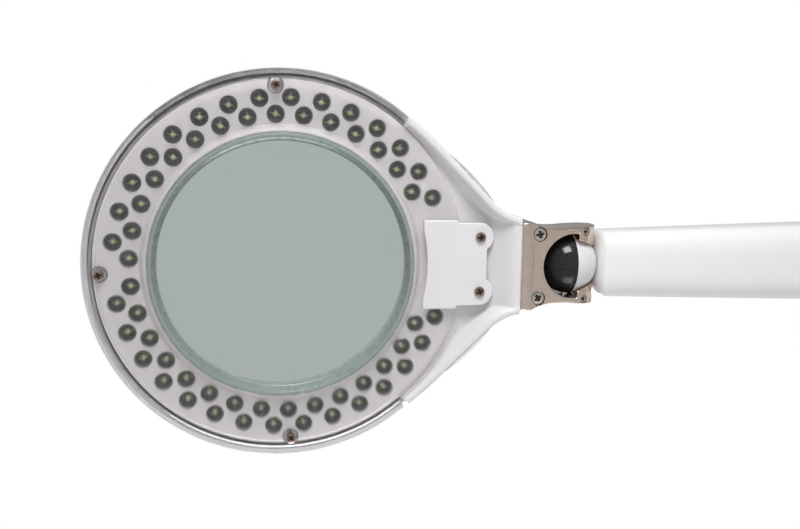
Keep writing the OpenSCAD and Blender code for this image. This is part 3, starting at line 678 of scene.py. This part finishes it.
def lights():
    """Clear domes, and inside each a lead frame with its cup and chip."""
    domes, inside = Shape(), Shape()
    dome = [(0, BOARD_TOP + 0.04), (LED_R, BOARD_TOP + 0.04), (LED_R, -0.9)]
    dome += [(LED_R * math.cos(a), -0.9 + LED_R * math.sin(a)) for a in np.radians(range(9, 90, 9))]
    dome += [(0, LED_R - 0.9)]
    cup = [(0, -2.9), (0.6, -2.9), (0.74, -2.1), (0.66, -2.1), (0.52, -2.3), (0, -2.3)]
    chip = [(0, -2.32), (0.53, -2.28), (0.5, -2.05), (0.36, -1.93), (0, -1.88)]
    bar = [(x, y, z) for x in (-1.2, 1.2) for y in (-0.13, 0.13) for z in (-2.7, -2.5)]
    for c in LIGHTS:
        at = Matrix.Translation((c[0], c[1], 0))
        spin = at @ Matrix.Rotation(random.uniform(-0.35, 0.35), 4, "Z")
        domes.lathe(dome, 28, 0, at, closed=False)
        inside.lathe(cup, 20, 0, at, closed=False)
        inside.lathe(chip, 20, 1, at, closed=False)
        inside.add(bar, BOX_FACES, 0, spin)
    domes.make("light_domes", HEAD, RESIN, "head", ["leds"], "led_dome")
    inside.make("light_chips", HEAD, [LEADS, PHOSPHOR], "head", ["leds"], "led_dome")


def sag(r):
    """How far the lens's surface falls away at radius r."""
    return LENS_CURVE - math.sqrt(LENS_CURVE ** 2 - r * r)


def lens_pieces():
    """The lens, thick in the middle, and the grey ring that holds it."""
    edge = sag(LENS_R)
    radii = np.linspace(0, LENS_R, 40)
    front = [(r, -2 + edge - sag(r)) for r in radii]
    back = [(r, -5 - edge + sag(r)) for r in reversed(radii)]
    Shape().lathe(front + back, 180, closed=False).make(
        "lens_glass", HEAD, GLASS, "head", ["lens"], "lens_glass")
    ring = [(59.4, -1.3), (62.9, -1.95), (TUBE_R - 0.05, -1.95), (TUBE_R - 0.05, 4.5), (62.9, 4.9),
            (61.7, 4.9), (61.3, 4.2), (59.9, -0.1), (59.4, -0.5)]
    Shape().lathe(soft(ring, 0.3, 3), 240).make(
        "lens_ring", HEAD, GREY_RING, "head", ["lens_retaining_ring"], "white_plastic", 60)


# ---------- screws ----------
def screw_head(s, at, x, y, r, top, thick, shank, low, spin):
    """A domed head with a cross recess, on a plain shank. The recess takes the second material, a near-black
    colour painted in as the shade inside the recess.
    """
    radii = [0, 0.08, 0.16, 0.22, 0.28, 0.34, 0.4, 0.46, 0.52, 0.58, 0.64, 0.72, 0.8, 0.88, 0.94, 0.98, 1.0]
    n, verts, rows, sunk = 48, [], [], {}
    for q in radii:
        ring = []
        for k in range(1 if q == 0 else n):
            a = TAU * k / n
            u, v = abs(q * math.cos(a + spin)), abs(q * math.sin(a + spin))
            slot_w, reach = 0.15, 0.66
            cross = (1 - step(min(u, v), slot_w, slot_w + 0.08)) * (1 - step(max(u, v), reach - 0.1, reach))
            pit = 1 - step(q, 0.18, 0.36)
            deep = float(max(cross, pit))
            z = top - 0.16 * r * q ** 2.2 - (0.1 * r if q > 0.96 else 0) - 0.42 * r * deep
            sunk[len(verts)] = deep
            ring.append(len(verts))
            verts.append((x + r * q * math.cos(a), y + r * q * math.sin(a), z))
        rows.append(ring * n if q == 0 else ring)
    for q, z in ((r, top - thick), (shank, top - thick), (shank, low)):
        rows.append(list(range(len(verts), len(verts) + n)))
        verts += [(x + q * math.cos(TAU * k / n), y + q * math.sin(TAU * k / n), z) for k in range(n)]
    verts.append((x, y, low - shank * 0.4))
    rows.append([len(verts) - 1] * n)
    base, faces = len(s.f), skin(rows)
    s.add(verts, faces, 0, at)
    for i, face in enumerate(faces):
        # faces sunk deep in the cross recess get the painted shade material
        s.m[base + i] = int(min(sunk.get(v, 0) for v in face) > 0.3)


def screw_set(node, place, mat, body, slot_name, heads, at=WORLD):
    """A node's screws as one piece. heads: what screw_head takes for each, from x on."""
    s = Shape()
    for head in heads:
        screw_head(s, at, *head)
    # the second material is the painted shade in the cross recesses
    s.make(node[:-1] + "_set", place, [mat, RECESS_SHADE], body, [node], slot_name, 45)


def screws():
    """The screws of the head and the yoke."""
    top, low = BALL_H + YOKE_T, BALL_H - YOKE_T
    screw_set("cover_screws", HEAD, BROWN, "head", "screw_steel",
              [(c[0], c[1], 2.4, 4.9, 1.5, 1.2, -8.5, 0.3 + i) for i, c in enumerate(BOSSES)])
    screw_set("neck_plate_screws", HEAD, BROWN, "head", "screw_steel",
              [(96.4, sign * 13.6, 2.5, 6.6, 1.5, 1.2, -8.5, 0.5 + sign) for sign in (-1, 1)])
    for node, (x, y), r, head, thick, shank, foot, spin in (
            ("yoke_neck_screws", NECK_SCREW, 3.1, top + 0.1, 1.6, 1.5, low + 1, 0.4),
            ("yoke_end_screws", END_SCREW, 1.75, top - 2, 1.4, 1.1, low + 3, 0.9)):
        screw_set(node, HEAD, PLATED, "head", "steel",
                  [(x, sign * y, r, head, thick, shank, foot, spin + sign) for sign in (-1, 1)])


# ---------- yoke ----------
YOKE_SIDE = [(115, 21.6), (121, 21.6), (122.5, 20.8), (124.5, 19.9), (127, 19.1), (130, 18.5), (134, 18.2),
             (138, 18.3), (142, 18.6), (148, 19.1), (155.6, 19.75)]
BALL_X, AXLE_R, SOCKET_R, EDGE_R = 142.5, 2.05, BALL_R + 0.3, 0.8
BAND_X, BAND_W = 118, 6.0


def yoke_loop():
    """The yoke's outline with the ball's window, as one soft-cornered path."""
    side = [np.array(p, float) for p in YOKE_SIDE]
    window = [(BALL_X + x, y) for x, y in ((13.1, 8.8), (4, 11.9), (1.6, 12.7))]
    bow_r = 15.9
    a0 = math.acos(1.6 / bow_r)
    bow = [(BALL_X + bow_r * math.cos(a), bow_r * math.sin(a)) for a in np.linspace(a0, TAU - a0, 60)]
    path = [(x, -y) for x, y in side] + [(x, -y) for x, y in window] + bow[::-1]
    path += list(reversed(window)) + [tuple(p) for p in reversed(side)]
    path = soft(path, 0.7, 4)
    out = []
    for a, b in zip(path, path[1:] + path[:1]):
        a, b = np.array(a, float), np.array(b, float)
        parts = max(1, int(np.linalg.norm(b - a) / 0.9 + 0.5))
        out += [a + (b - a) * i / parts for i in range(parts)]
    keep = [p for i, p in enumerate(out) if np.linalg.norm(p - out[i - 1]) > 0.04]
    return np.array(keep)


def inside_by(loop, points):
    """Distance of points from a closed path, negative outside it."""
    a, b = loop[None], np.roll(loop, -1, 0)[None]
    p = np.asarray(points, float)[:, None]
    t = np.clip(((p - a) * (b - a)).sum(-1) / ((b - a) ** 2).sum(-1), 0, 1)
    far = np.sqrt(((p - a - t[..., None] * (b - a)) ** 2).sum(-1)).min(1)
    x, y = p[..., 0], p[..., 1]
    crossed = ((a[..., 1] > y) != (b[..., 1] > y))
    rise = np.where(crossed, b[..., 1] - a[..., 1], 1.0)
    at_x = a[..., 0] + (y - a[..., 1]) * (b[..., 0] - a[..., 0]) / rise
    inside = (crossed & (x < at_x)).sum(1) % 2 == 1
    return np.where(inside, far, -far)


def yoke_face(x, y, d, front):
    """Height of the yoke's outer face above its parting plane."""
    past = np.clip(x - BALL_X, 0, YOKE_T - 0.02)
    z = np.sqrt(YOKE_T ** 2 - past ** 2)
    z = z + 0.8 * np.sqrt(np.clip(1 - ((x - BAND_X) / (BAND_W / 2)) ** 2, 0, 1))
    z = z - (EDGE_R - np.sqrt(np.clip(EDGE_R ** 2 - np.clip(EDGE_R - d, 0, EDGE_R) ** 2, 0, None)))
    for ((cx, cy), r), floor in zip(YOKE_HOLES, (YOKE_T - 1.6, YOKE_T - 3.4)):
        q = np.hypot(x - cx, np.abs(y) - cy)
        if front:
            z = z + 0.12 * np.exp(-((q - r - 0.45) / 0.3) ** 2)
            z = np.where(q < r + 0.05, floor + (z - floor) * np.clip((q - r + 0.15) / 0.2, 0, 1), z)
        elif cx < BALL_X:
            z = np.where(q < 1.6, np.minimum(z, YOKE_T - 0.4), z)
    return np.maximum(z, 0.35)


def yoke_hollow(x, y):
    """Height of the socket and the axle's bore above the parting plane."""
    z = np.sqrt(np.clip(SOCKET_R ** 2 - (x - BALL_X) ** 2 - y ** 2, 0, None))
    bore = np.sqrt(np.clip(AXLE_R ** 2 - (x - BALL_X) ** 2, 0, None)) * (np.abs(y) < 17.6)
    return np.maximum(z, bore)


def yoke():
    """Both halves: a raised band, soft edges, screw recesses and a round socket."""
    loop = yoke_loop()
    grid = [(x, y) for x in np.arange(115.7, 156, 1.0) for y in np.arange(-21.4, 21.5, 1.0)]
    grid += [(BALL_X + AXLE_R * q, sign * y) for q in (-1, -0.85, -0.45, 0.45, 0.85, 1)
             for y in np.arange(15.95, 17.61, 0.4) for sign in (-1, 1)]
    grid += [(BAND_X + BAND_W / 2 * q, y) for q in (-0.97, -0.85, -0.6, 0.6, 0.85, 0.97, 1.0)
             for y in np.arange(-20.6, 20.7, 1.0)]
    grid += [(BALL_X + u, y) for u in (9.5, 10.5, 11.2, 11.8, 12.3, 12.7)
             for y in np.arange(-19.6, 19.7, 0.8)]
    grid = [p for p in grid if all(math.hypot(p[0] - cx, abs(p[1]) - cy) > r + 0.9
                                   for (cx, cy), r in YOKE_HOLES)]
    for (cx, cy), r in YOKE_HOLES:
        for q in (0.35 * r, r - 0.4, r - 0.16, r + 0.06, r + 0.25, r + 0.45, r + 0.7):
            grid += [(cx + q * math.cos(a), sign * cy + q * math.sin(a))
                     for a in np.linspace(0, TAU, 36, endpoint=False) for sign in (-1, 1)]
    grid = np.array(grid)
    grid = grid[inside_by(loop, grid) > EDGE_R + 0.25]
    turn = np.roll(loop, -1, 0) - np.roll(loop, 1, 0)
    normal = np.stack([-turn[:, 1], turn[:, 0]], 1) / np.linalg.norm(turn, axis=1)[:, None]
    rings = []
    for q in (0.08, 0.3, 0.62, 1.0):
        ring = loop + normal * EDGE_R * q
        rings.append(ring[inside_by(loop, ring) > EDGE_R * q * 0.9])
    points = np.concatenate([loop, grid] + rings)
    n = len(loop)
    rim = [(i, (i + 1) % n) for i in range(n)]
    v, _, f, _, _, _ = delaunay_2d_cdt([Vector(p) for p in points], rim, [], 0, 1e-5)
    flat = np.array([tuple(p) for p in v])
    tris = np.array([tuple(t) for t in f])
    tris = tris[inside_by(loop, flat[tris].mean(1)) > 0]
    depth = np.abs(inside_by(loop, flat))
    x, y = flat.T
    faces = slab(tris, len(flat))
    for node, sign in (("yoke_front", 1), ("yoke_rear", -1)):
        top = yoke_face(x, y, depth, sign > 0)
        low = np.minimum(yoke_hollow(x, y), top - 0.3)
        verts = [(a, b, BALL_H + sign * c) for a, b, c in zip(x, y, top)]
        verts += [(a, b, BALL_H + sign * c) for a, b, c in zip(x, y, low)]
        Shape().add(verts, faces).make(
            node + "_half", HEAD, CHAMPAGNE, "head", [node], "champagne_metal", 40)


# ---------- ball ----------
def ball():
    """The black half of the ball, with the moulding seam round it, and its white nose."""
    s, n, verts, rows = Shape(), 144, [], []
    seam = [1.1, 1.3, 1.6, 2.0, 2.3, 2.5]
    for y in sorted(set([-BALL_R * math.cos(a) for a in np.linspace(0, math.pi, 60)] + seam)):
        r = math.sqrt(max(BALL_R ** 2 - y * y, 0)) - (0.3 if 1.25 < y < 2.35 else 0)
        if r < 1e-4:
            rows.append([len(verts)] * n)
            verts.append((0, y, 0))
            continue
        rows.append(list(range(len(verts), len(verts) + n)))
        verts += [(r * math.cos(TAU * k / n), y, r * math.sin(TAU * k / n)) for k in range(n)]
    s.add(verts, skin(rows))
    me = s.mesh("ball", UPPER, BLACK)
    bm = bmesh.new()
    bm.from_mesh(me)
    cut = bmesh.ops.bisect_plane(
        bm, geom=bm.verts[:] + bm.edges[:] + bm.faces[:], dist=1e-7, clear_outer=True,
        plane_co=(Matrix.Scale(MM, 4) @ UPPER) @ Vector((0.97, 0, 0)), plane_no=(1, 0, 0))
    rim = [e for e in cut["geom_cut"] if isinstance(e, bmesh.types.BMEdge)]
    bmesh.ops.contextual_create(bm, geom=rim)
    bm.to_mesh(me)
    bm.free()
    finish_piece("ball_black", me, "ball", ["ball_hub"], 30)
    nose = [(4.05, 1.02), (BALL_R * math.cos(math.asin(1 / BALL_R)), 1.02)]
    nose += [(BALL_R * math.cos(a), BALL_R * math.sin(a))
             for a in np.linspace(math.asin(2 / BALL_R), math.asin(12.4 / BALL_R), 18)]
    nose += [(8.4, 12.75), (7.6, 12.9), (6.2, 12.9), (6.2, 15.8), (4.05, 15.8)]
    Shape().lathe(nose, 128, 0, TO_X).make(
        "ball_white", UPPER, WHITE, "ball", ["ball_nose"], "white_plastic", 30)


# ---------- arm covers ----------
SQUARENESS = 3.4         # power of the covers' sections: 2 is an ellipse, more is squarer


def squircle(hw, hd, phis):
    """Half sections of the covers: a rounded rectangle with crowned faces."""
    c, s = np.cos(phis), np.sin(phis)
    wide, deep = (np.sign(q) * np.abs(q) ** (2 / SQUARENESS) for q in (c, s))
    return np.stack([hw * wide, hd * deep], 1)


def cover(name, node, place, body, sections, upper_half, hole=None):
    """One half of an arm's shell. sections: (x, half width, half depth)."""
    phis = np.linspace(0, math.pi, 73) if upper_half else np.linspace(math.pi, TAU, 73)
    seam, wall = 0.1, 2.0
    rows = []

    def row(x, hw, hd, circle=0.0):
        round_end = circle * np.stack([np.cos(phis), np.sin(phis)], 1)
        yz = round_end if circle else squircle(hw, hd, phis)
        z = np.maximum(yz[:, 1], seam) if upper_half else np.minimum(yz[:, 1], -seam)
        rows.append(np.stack([np.full(len(phis), x), yz[:, 0], z], 1))

    x0, hw0, hd0 = sections[0]
    if hole:
        row(x0, 0, 0, hole)
        row(x0, (hole + hw0) / 2, (hole + hd0) / 2)
    for x, hw, hd in sections:
        row(x, hw, hd)
    x1, hw1, hd1 = sections[-1]
    row(x1 + 0.2, hw1 - 0.4, hd1 - 0.4)
    row(x1 + 0.2, hw1 - wall + 0.3, hd1 - wall + 0.3)
    for x, hw, hd in reversed(sections):
        if not hole or x > x0 + wall + 1.5:
            row(x, hw - wall, hd - wall)
    if hole:
        row(x0 + wall + 1.0, hw0 - wall + 1.6, hd0 - wall + 1.6)
        row(x0 + wall, hw0 - wall, hd0 - wall)
        row(x0 + wall, 0, 0, hole)
    else:
        row(x0 - 0.2, hw0 - wall + 0.3, hd0 - wall + 0.3)
        row(x0 - 0.2, hw0 - 0.4, hd0 - 0.4)
    n, k = len(phis), len(rows)
    faces = [(i * n + j, i * n + j + 1, ((i + 1) % k) * n + j + 1, ((i + 1) % k) * n + j)
             for i in range(k) for j in range(n - 1)]
    faces += [tuple(i * n for i in range(k)), tuple(i * n + n - 1 for i in range(k))]
    Shape().add(np.concatenate(rows), faces).make(name, place, PAINT, body, [node], "arm_paint", 40)


def arm_covers():
    """The four cover halves and their screws."""
    x0, x1, end = 13.5, ARM - 46, ARM - 30
    top = [(x0 + 3.7 * (1 - math.cos(a)), 9 + 7.8 * math.sin(a), 8 + 6.2 * math.sin(a))
           for a in np.linspace(0, math.pi / 2, 14)]
    x_edge = top[-1][0]
    top += [(x_edge + (x1 - x_edge) * t, 16.8 + 9.2 * t, 14.2 + 5.8 * t) for t in np.linspace(0.02, 1, 26)]
    top += [(x1 + (end - x1) * t, 26.1, 20 - 7.5 * t) for t in (0.08, 0.3, 0.6, 0.9, 1.0)]
    cover("upper_shell_top", "upper_cover_top", UPPER, "upper_arm", top, True, 6.5)
    cover("upper_shell_bottom", "upper_cover_bottom", UPPER, "upper_arm", top, False, 6.5)
    low = [(30 + 16 * t, 26.2, 12.5 + 7.5 * t) for t in (0, 0.1, 0.4, 0.7, 0.92)]
    low += [(46 + (ARM - 92) * t, 26 - t, 20 - t) for t in np.linspace(0, 1, 26)]
    low += [(x1 + 16 * t, 25, 19 - 6.5 * t) for t in (0.08, 0.3, 0.6, 0.9, 1.0)]
    cover("lower_shell_front", "lower_cover_front", LOWER, "lower_arm", low, True)
    cover("lower_shell_back", "lower_cover_back", LOWER, "lower_arm", low, False)
    flip = Matrix.Rotation(math.pi, 4, "X")
    for node, place, body, xs, face_at in (
            ("upper_cover_screws", UPPER, "upper_arm", (125, 320),
             lambda x: 14.2 + (x - 17.1) * 5.8 / (x1 - 17.1)),
            ("lower_cover_screws", LOWER, "lower_arm", (70, 250, 310),
             lambda x: 20 - (x - 46) / (ARM - 92))):
        heads = [(x, y, 2.5, face_at(x) + 0.35, 1.4, 1.3, face_at(x) - 9, 0.2 * x + y)
                 for x in xs for y in (-7.5, 7.5)]
        screw_set(node, place, PLATED, body, "screw_steel", heads, flip)


# ---------- springs, screw and bar ----------
def coil(s, x0, x1, y, z, radius, wire, pitch):
    """A coil spring along X, with its ends closed."""
    sides, steps = 6, 14
    count = int((x1 - x0) / pitch * steps)
    verts = []
    for i in range(count + 1):
        a = TAU * i / steps
        x = x0 + pitch * i / steps
        out = Vector((0, math.cos(a), math.sin(a)))
        for k in range(sides):
            b = TAU * k / sides
            along = Vector((wire * math.sin(b), 0, 0))
            verts.append(tuple(Vector((x, y, z)) + out * (radius + wire * math.cos(b)) + along))
    s.add(verts, rod(count, sides))


def springs():
    """Each arm's pair of springs, with their end plugs and pins."""
    for node, place, body, x0, x1, z in (("upper_springs", UPPER, "upper_arm", 156, 262, 8.0),
                                         ("lower_springs", LOWER, "lower_arm", 112, 224, -8.0)):
        s = Shape()
        for y in (-5.2, 5.2):
            at = Matrix.Translation((0, y, z)) @ TO_X
            coil(s, x0 + 1, x1 - 1, y, z, 3.8, 0.65, 1.7)
            for a, b in ((x0 - 3, x0 + 2), (x1 - 2, x1 + 3)):
                s.lathe([(0, a), (1, a), (1, b), (0, b)], 12, 0, at, closed=False)
            for a in (x0, x1 - 2):
                plug = soft([(0, a), (3.2, a), (3.2, a + 2), (0, a + 2)], 0.4, 2, closed=False)
                s.lathe(plug, 24, 0, at, closed=False)
        s.make(node + "_made", place, SPRING, body, [node], "steel", 60)


def clamp_parts():
    """The threaded clamp screw with its boss, the sliding bar and its caps, and the pad with its rubber grip.
    """
    low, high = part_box("tommy_bar")
    handle_z = (low.z + high.z) / 2 / MM
    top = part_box("clamp_screw")[1].z / MM
    s, n, pitch = Shape(), 32, 2.0
    z_low, z_high = handle_z + 8, top - 1
    count = int((z_high - z_low) / 0.25)
    rows = []
    for i in range(count + 1):
        z = z_low + (z_high - z_low) * i / count
        fade = min(1, (z - z_low) / 3, (z_high - z) / 1.5)
        ring = []
        for k in range(n):
            phase = (z / pitch - k / n) % 1.0
            r = 4.95 - 0.75 * (1 - abs(2 * phase - 1)) * max(fade, 0)
            ring.append((r * math.cos(TAU * k / n), r * math.sin(TAU * k / n), z))
        rows.append(ring)
    s.add([p for ring in rows for p in ring], rod(count, n))
    boss = [(0, handle_z - 9), (8.5, handle_z - 9), (8.5, handle_z + 9), (0, handle_z + 9)]
    s.lathe(soft(boss, 2.2, 6, closed=False), 64, closed=False)
    s.make("screw_spindle", WORLD, STEEL, "screw", ["clamp_screw"], "steel", 50)
    middle = Matrix.Translation((0, 0, handle_z))
    bar = soft([(0, -40), (3, -40), (3, 40), (0, 40)], 0.6, 3, closed=False)
    Shape().lathe(bar, 48, 0, middle @ TO_X, closed=False).make(
        "sliding_bar", WORLD, STEEL, "screw", ["tommy_bar"], "steel")
    s = Shape()
    for side in (0, math.pi):
        cap = soft([(3, 33), (5.0, 33), (5.5, 36), (5.5, 46), (0, 46)], 1.2, 5, closed=False)
        s.lathe(cap + [(0, 40.1), (3, 40.1), (3, 33)], 48, 0,
                middle @ Matrix.Rotation(side, 4, "Z") @ TO_X, closed=False)
    s.make("bar_end_caps", WORLD, KNOB, "screw", ["bar_caps"], "black_plastic", 60)
    pad_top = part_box("pad_rubber")[1].z / MM
    pad = [(r, pad_top - z) for r, z in ((5.05, 12), (9, 12), (9, 6), (17, 5.2), (17, 2.05), (0, 2.05),
                                         (0, 7), (5.05, 7))]
    Shape().lathe(soft(pad, 0.7, 4), 96).make(
        "clamp_pad", WORLD, STEEL, "pad", ["pressure_pad"], "steel", 40)
    grip = soft([(0, pad_top - 2), (16, pad_top - 2), (16, pad_top), (14.5, pad_top)], 0.5, 3, closed=False)
    for r in (13, 10, 7, 4):
        grip += [(r + 0.9, pad_top), (r + 0.6, pad_top - 0.5), (r + 0.1, pad_top - 0.5), (r - 0.2, pad_top)]
    grip += [(0, pad_top)]
    Shape().lathe(grip, 96, closed=False).make(
        "clamp_pad_grip", WORLD, RUBBER, "pad", ["pad_rubber"], "rubber", 40)


def knob(name, place, body, node):
    """A lobed knob with softened rims, its grip hollowed slightly in the face."""
    lobe_at, lobe_r, base_r, n = 15.2, 3.4, 16.0, 192

    def outer(a):
        a = (a + TAU / 16) % (TAU / 8) - TAU / 16
        side = lobe_at * math.sin(a)
        lobe = lobe_at * math.cos(a) + math.sqrt(lobe_r ** 2 - side ** 2) if abs(side) < lobe_r else 0
        return float(smooth_max(np.array(lobe), np.array(base_r), 0.5))

    path = [(4.05, 18.9, 0), (4.15, 18.8, 0), (6.7, 18.8, 0), (7, 19.1, 0), (7, 21.7, 0), (7.4, 22, 0)]
    path += [(1 - 0.06 * (1 - math.sin(a)), 22 + 1.1 * (1 - math.cos(a)), 1)
             for a in np.linspace(0, math.pi / 2, 6)]
    path += [(1 - 0.09 * (1 - math.cos(a)), 33 - 1.6 * (1 - math.sin(a)), 1)
             for a in np.linspace(0, math.pi / 2, 8)]
    path += [(0.70, 33, 1), (0.66, 32.8, 1), (0.62, 32.2, 1), (6.8, 32.0, 0), (6.2, 32.3, 0), (5.9, 33, 0),
             (4.4, 33, 0), (4.05, 32.7, 0)]
    angles = [TAU * k / n for k in range(n)]
    ring = [outer(a) for a in angles]
    verts = []
    for r, y, lobed in path:
        verts += [((r * q if lobed else r) * math.cos(a), -y, (r * q if lobed else r) * math.sin(a))
                  for a, q in zip(angles, ring)]
    Shape().add(verts, tube(len(path), n)).make(name, place, KNOB, body, [node], "black_plastic", 40)


def build():
    """Every piece: made meshes first, then rounded copies of CAD nodes, then nodes that stay."""
    housing()
    knob("shoulder_grip_knob", AT_SHOULDER, "shoulder_grip", "shoulder_knob")
    knob("elbow_grip_knob", AT_ELBOW, "elbow_grip", "elbow_knob")
    reflector()
    cover_posts()
    lights()
    lens_pieces()
    screws()
    yoke()
    ball()
    arm_covers()
    springs()
    clamp_parts()
    for node, mat, slot_name, width, segments in (
            ("clear_cover", CLEAR, "clear_plastic", 0.22, 2),
            ("neck_cover_plate", WHITE, "white_plastic", 0.7, 4),
            ("switch_housing", GREY, "grey_plastic", 0.5, 3),
            ("rocker_button", KNOB, "black_plastic", 0.4, 3),
            ("clamp_frame", CAST, "arm_paint", 1.4, 4),
            ("jaw_pad", RUBBER, "rubber", 0.5, 3),
            ("shoulder_bracket", CAST, "arm_paint", 0.8, 3),
            ("lower_bars", STEEL, "steel", 0.35, 3), ("upper_bars", STEEL, "steel", 0.35, 3),
            ("shoulder_bolt", STEEL, "steel", 0.4, 3), ("elbow_bolt", STEEL, "steel", 0.4, 3),
            ("shoulder_drum", NYLON, "nylon", 0.3, 3), ("elbow_drum", NYLON, "nylon", 0.3, 3),
            ("shoulder_discs", RUBBER, "rubber", 0.12, 3), ("elbow_discs", RUBBER, "rubber", 0.2, 3),
            ("upper_strap", SPRING, "steel", 0.1, 3), ("lower_strap", SPRING, "steel", 0.1, 3),
            ("arm_tip_block", GREY, "grey_plastic", 0.4, 3),
            ("cord_gland", KNOB, "black_plastic", 0.4, 3),
            ("swivel_post", STEEL, "steel", 0.5, 3)):
        rounded(node, mat, width, segments)
    for mat, nodes in ((BRASS, ("swivel_bush", "feed_nut")),
                       (STEEL, ("lower_pins", "upper_pins", "tilt_axle", "roll_stem", "roll_nut")),
                       (RUBBER, ("lens_gasket",)), (BOARD, ("led_board", "driver_board"))):
        for node in nodes:
            dress(node, mat)


# ---------- stage ----------
SIDE_LIGHT, ROOF_LIGHT, DARK_SIDE = 0.76, 0.42, 0.5      # strengths of the room round the object


def area(name, place, target, size, watts, spread=180):
    """A square light aimed at a target; a narrow spread keeps it off the floor."""
    data = bpy.data.lights.new(name, "AREA")
    data.shape, data.size, data.energy, data.spread = "SQUARE", size, watts, math.radians(spread)
    ob = put(name, data)
    ob.location = place
    ob.rotation_euler = (Vector(target) - Vector(place)).to_track_quat("-Z", "Y").to_euler()
    ob.visible_camera = False


def studio_world():
    """White behind the object, and a dimmer room for what it reflects and is lit by."""
    world = bpy.data.worlds.new("studio")
    bpy.context.scene.world = world
    world.use_nodes = True
    nt = world.node_tree
    nodes, link = nt.nodes, nt.links.new
    room = nodes["Background"]
    where, split = nodes.new("ShaderNodeTexCoord"), nodes.new("ShaderNodeSeparateXYZ")
    link(where.outputs["Generated"], split.inputs[0])

    def ramp(source, low, high, a, b):
        n = fill(nodes.new("ShaderNodeMapRange"), From_Min=low, From_Max=high, To_Min=a, To_Max=b)
        n.interpolation_type = "SMOOTHSTEP"
        link(source, n.inputs["Value"])
        return n.outputs["Result"]

    def times(a, b):
        n = nodes.new("ShaderNodeMath")
        n.operation = "MULTIPLY"
        link(a, n.inputs[0])
        link(b, n.inputs[1])
        return n.outputs[0]

    level = times(ramp(split.outputs["Z"], 0.15, 0.85, SIDE_LIGHT, ROOF_LIGHT),
                  ramp(split.outputs["Y"], -0.9, 0.1, DARK_SIDE, 1.0))
    link(level, room.inputs["Strength"])
    fill(room, Color=(0.985, 0.985, 1.0, 1))
    behind = fill(nodes.new("ShaderNodeBackground"), Color=(1, 1, 1, 1))
    path, mix = nodes.new("ShaderNodeLightPath"), nodes.new("ShaderNodeMixShader")
    link(path.outputs["Is Camera Ray"], mix.inputs["Fac"])
    link(room.outputs[0], mix.inputs[1])
    link(behind.outputs[0], mix.inputs[2])
    link(mix.outputs[0], nodes["World Output"].inputs["Surface"])


def stage():
    """The room, the floor and the three lights."""
    studio_world()
    bpy.context.scene.view_settings.view_transform = "Standard"
    low = cad_box[0][2] - 0.003
    me = bpy.data.meshes.new("floor")
    me.from_pydata([(-6, -6, low), (6, -6, low), (6, 6, low), (-6, 6, low)], [], [(0, 1, 2, 3)])
    me.materials.append(
        plastic("pale_floor", (0.82, 0.82, 0.82), (0.79, 0.79, 0.79), 0.6, 300.0, 0.0002, 6.0))
    floor = put("floor", me)
    head = HEAD.translation * MM
    area("key", (head.x + 0.02, -0.68, 0.06), head + Vector((0.12, 0, 0.06)), 0.36, 1.0, 70)
    area("fill", (head.x + 0.10, 0.80, 0.02), head, 0.5, 0.35, 70)
    area("top", (head.x + 0.1, 0.9, 1.75), head, 1.0, 14)


def camera():
    """The camera fitted to the photograph's rings of lights, lens and head edge."""
    data = bpy.data.cameras.new("camera")
    data.lens, data.sensor_width, data.sensor_fit = 43.28, 36, "HORIZONTAL"
    data.clip_start, data.clip_end = 0.01, 60
    ob = put("camera", data)
    right, up = Vector((0.984237, -0.015479, -0.176177)), Vector((0.010575, -0.989229, 0.145992))
    back = right.cross(up).normalized()
    up = back.cross(right).normalized()
    m = Matrix((right.normalized(), up, back)).transposed().to_4x4()
    m.translation = Vector((-0.450491, -0.068558, -0.014588))
    ob.matrix_world = m
    bpy.context.scene.camera = ob


build()
stage()
camera()

bpy.context.view_layer.update()
import json
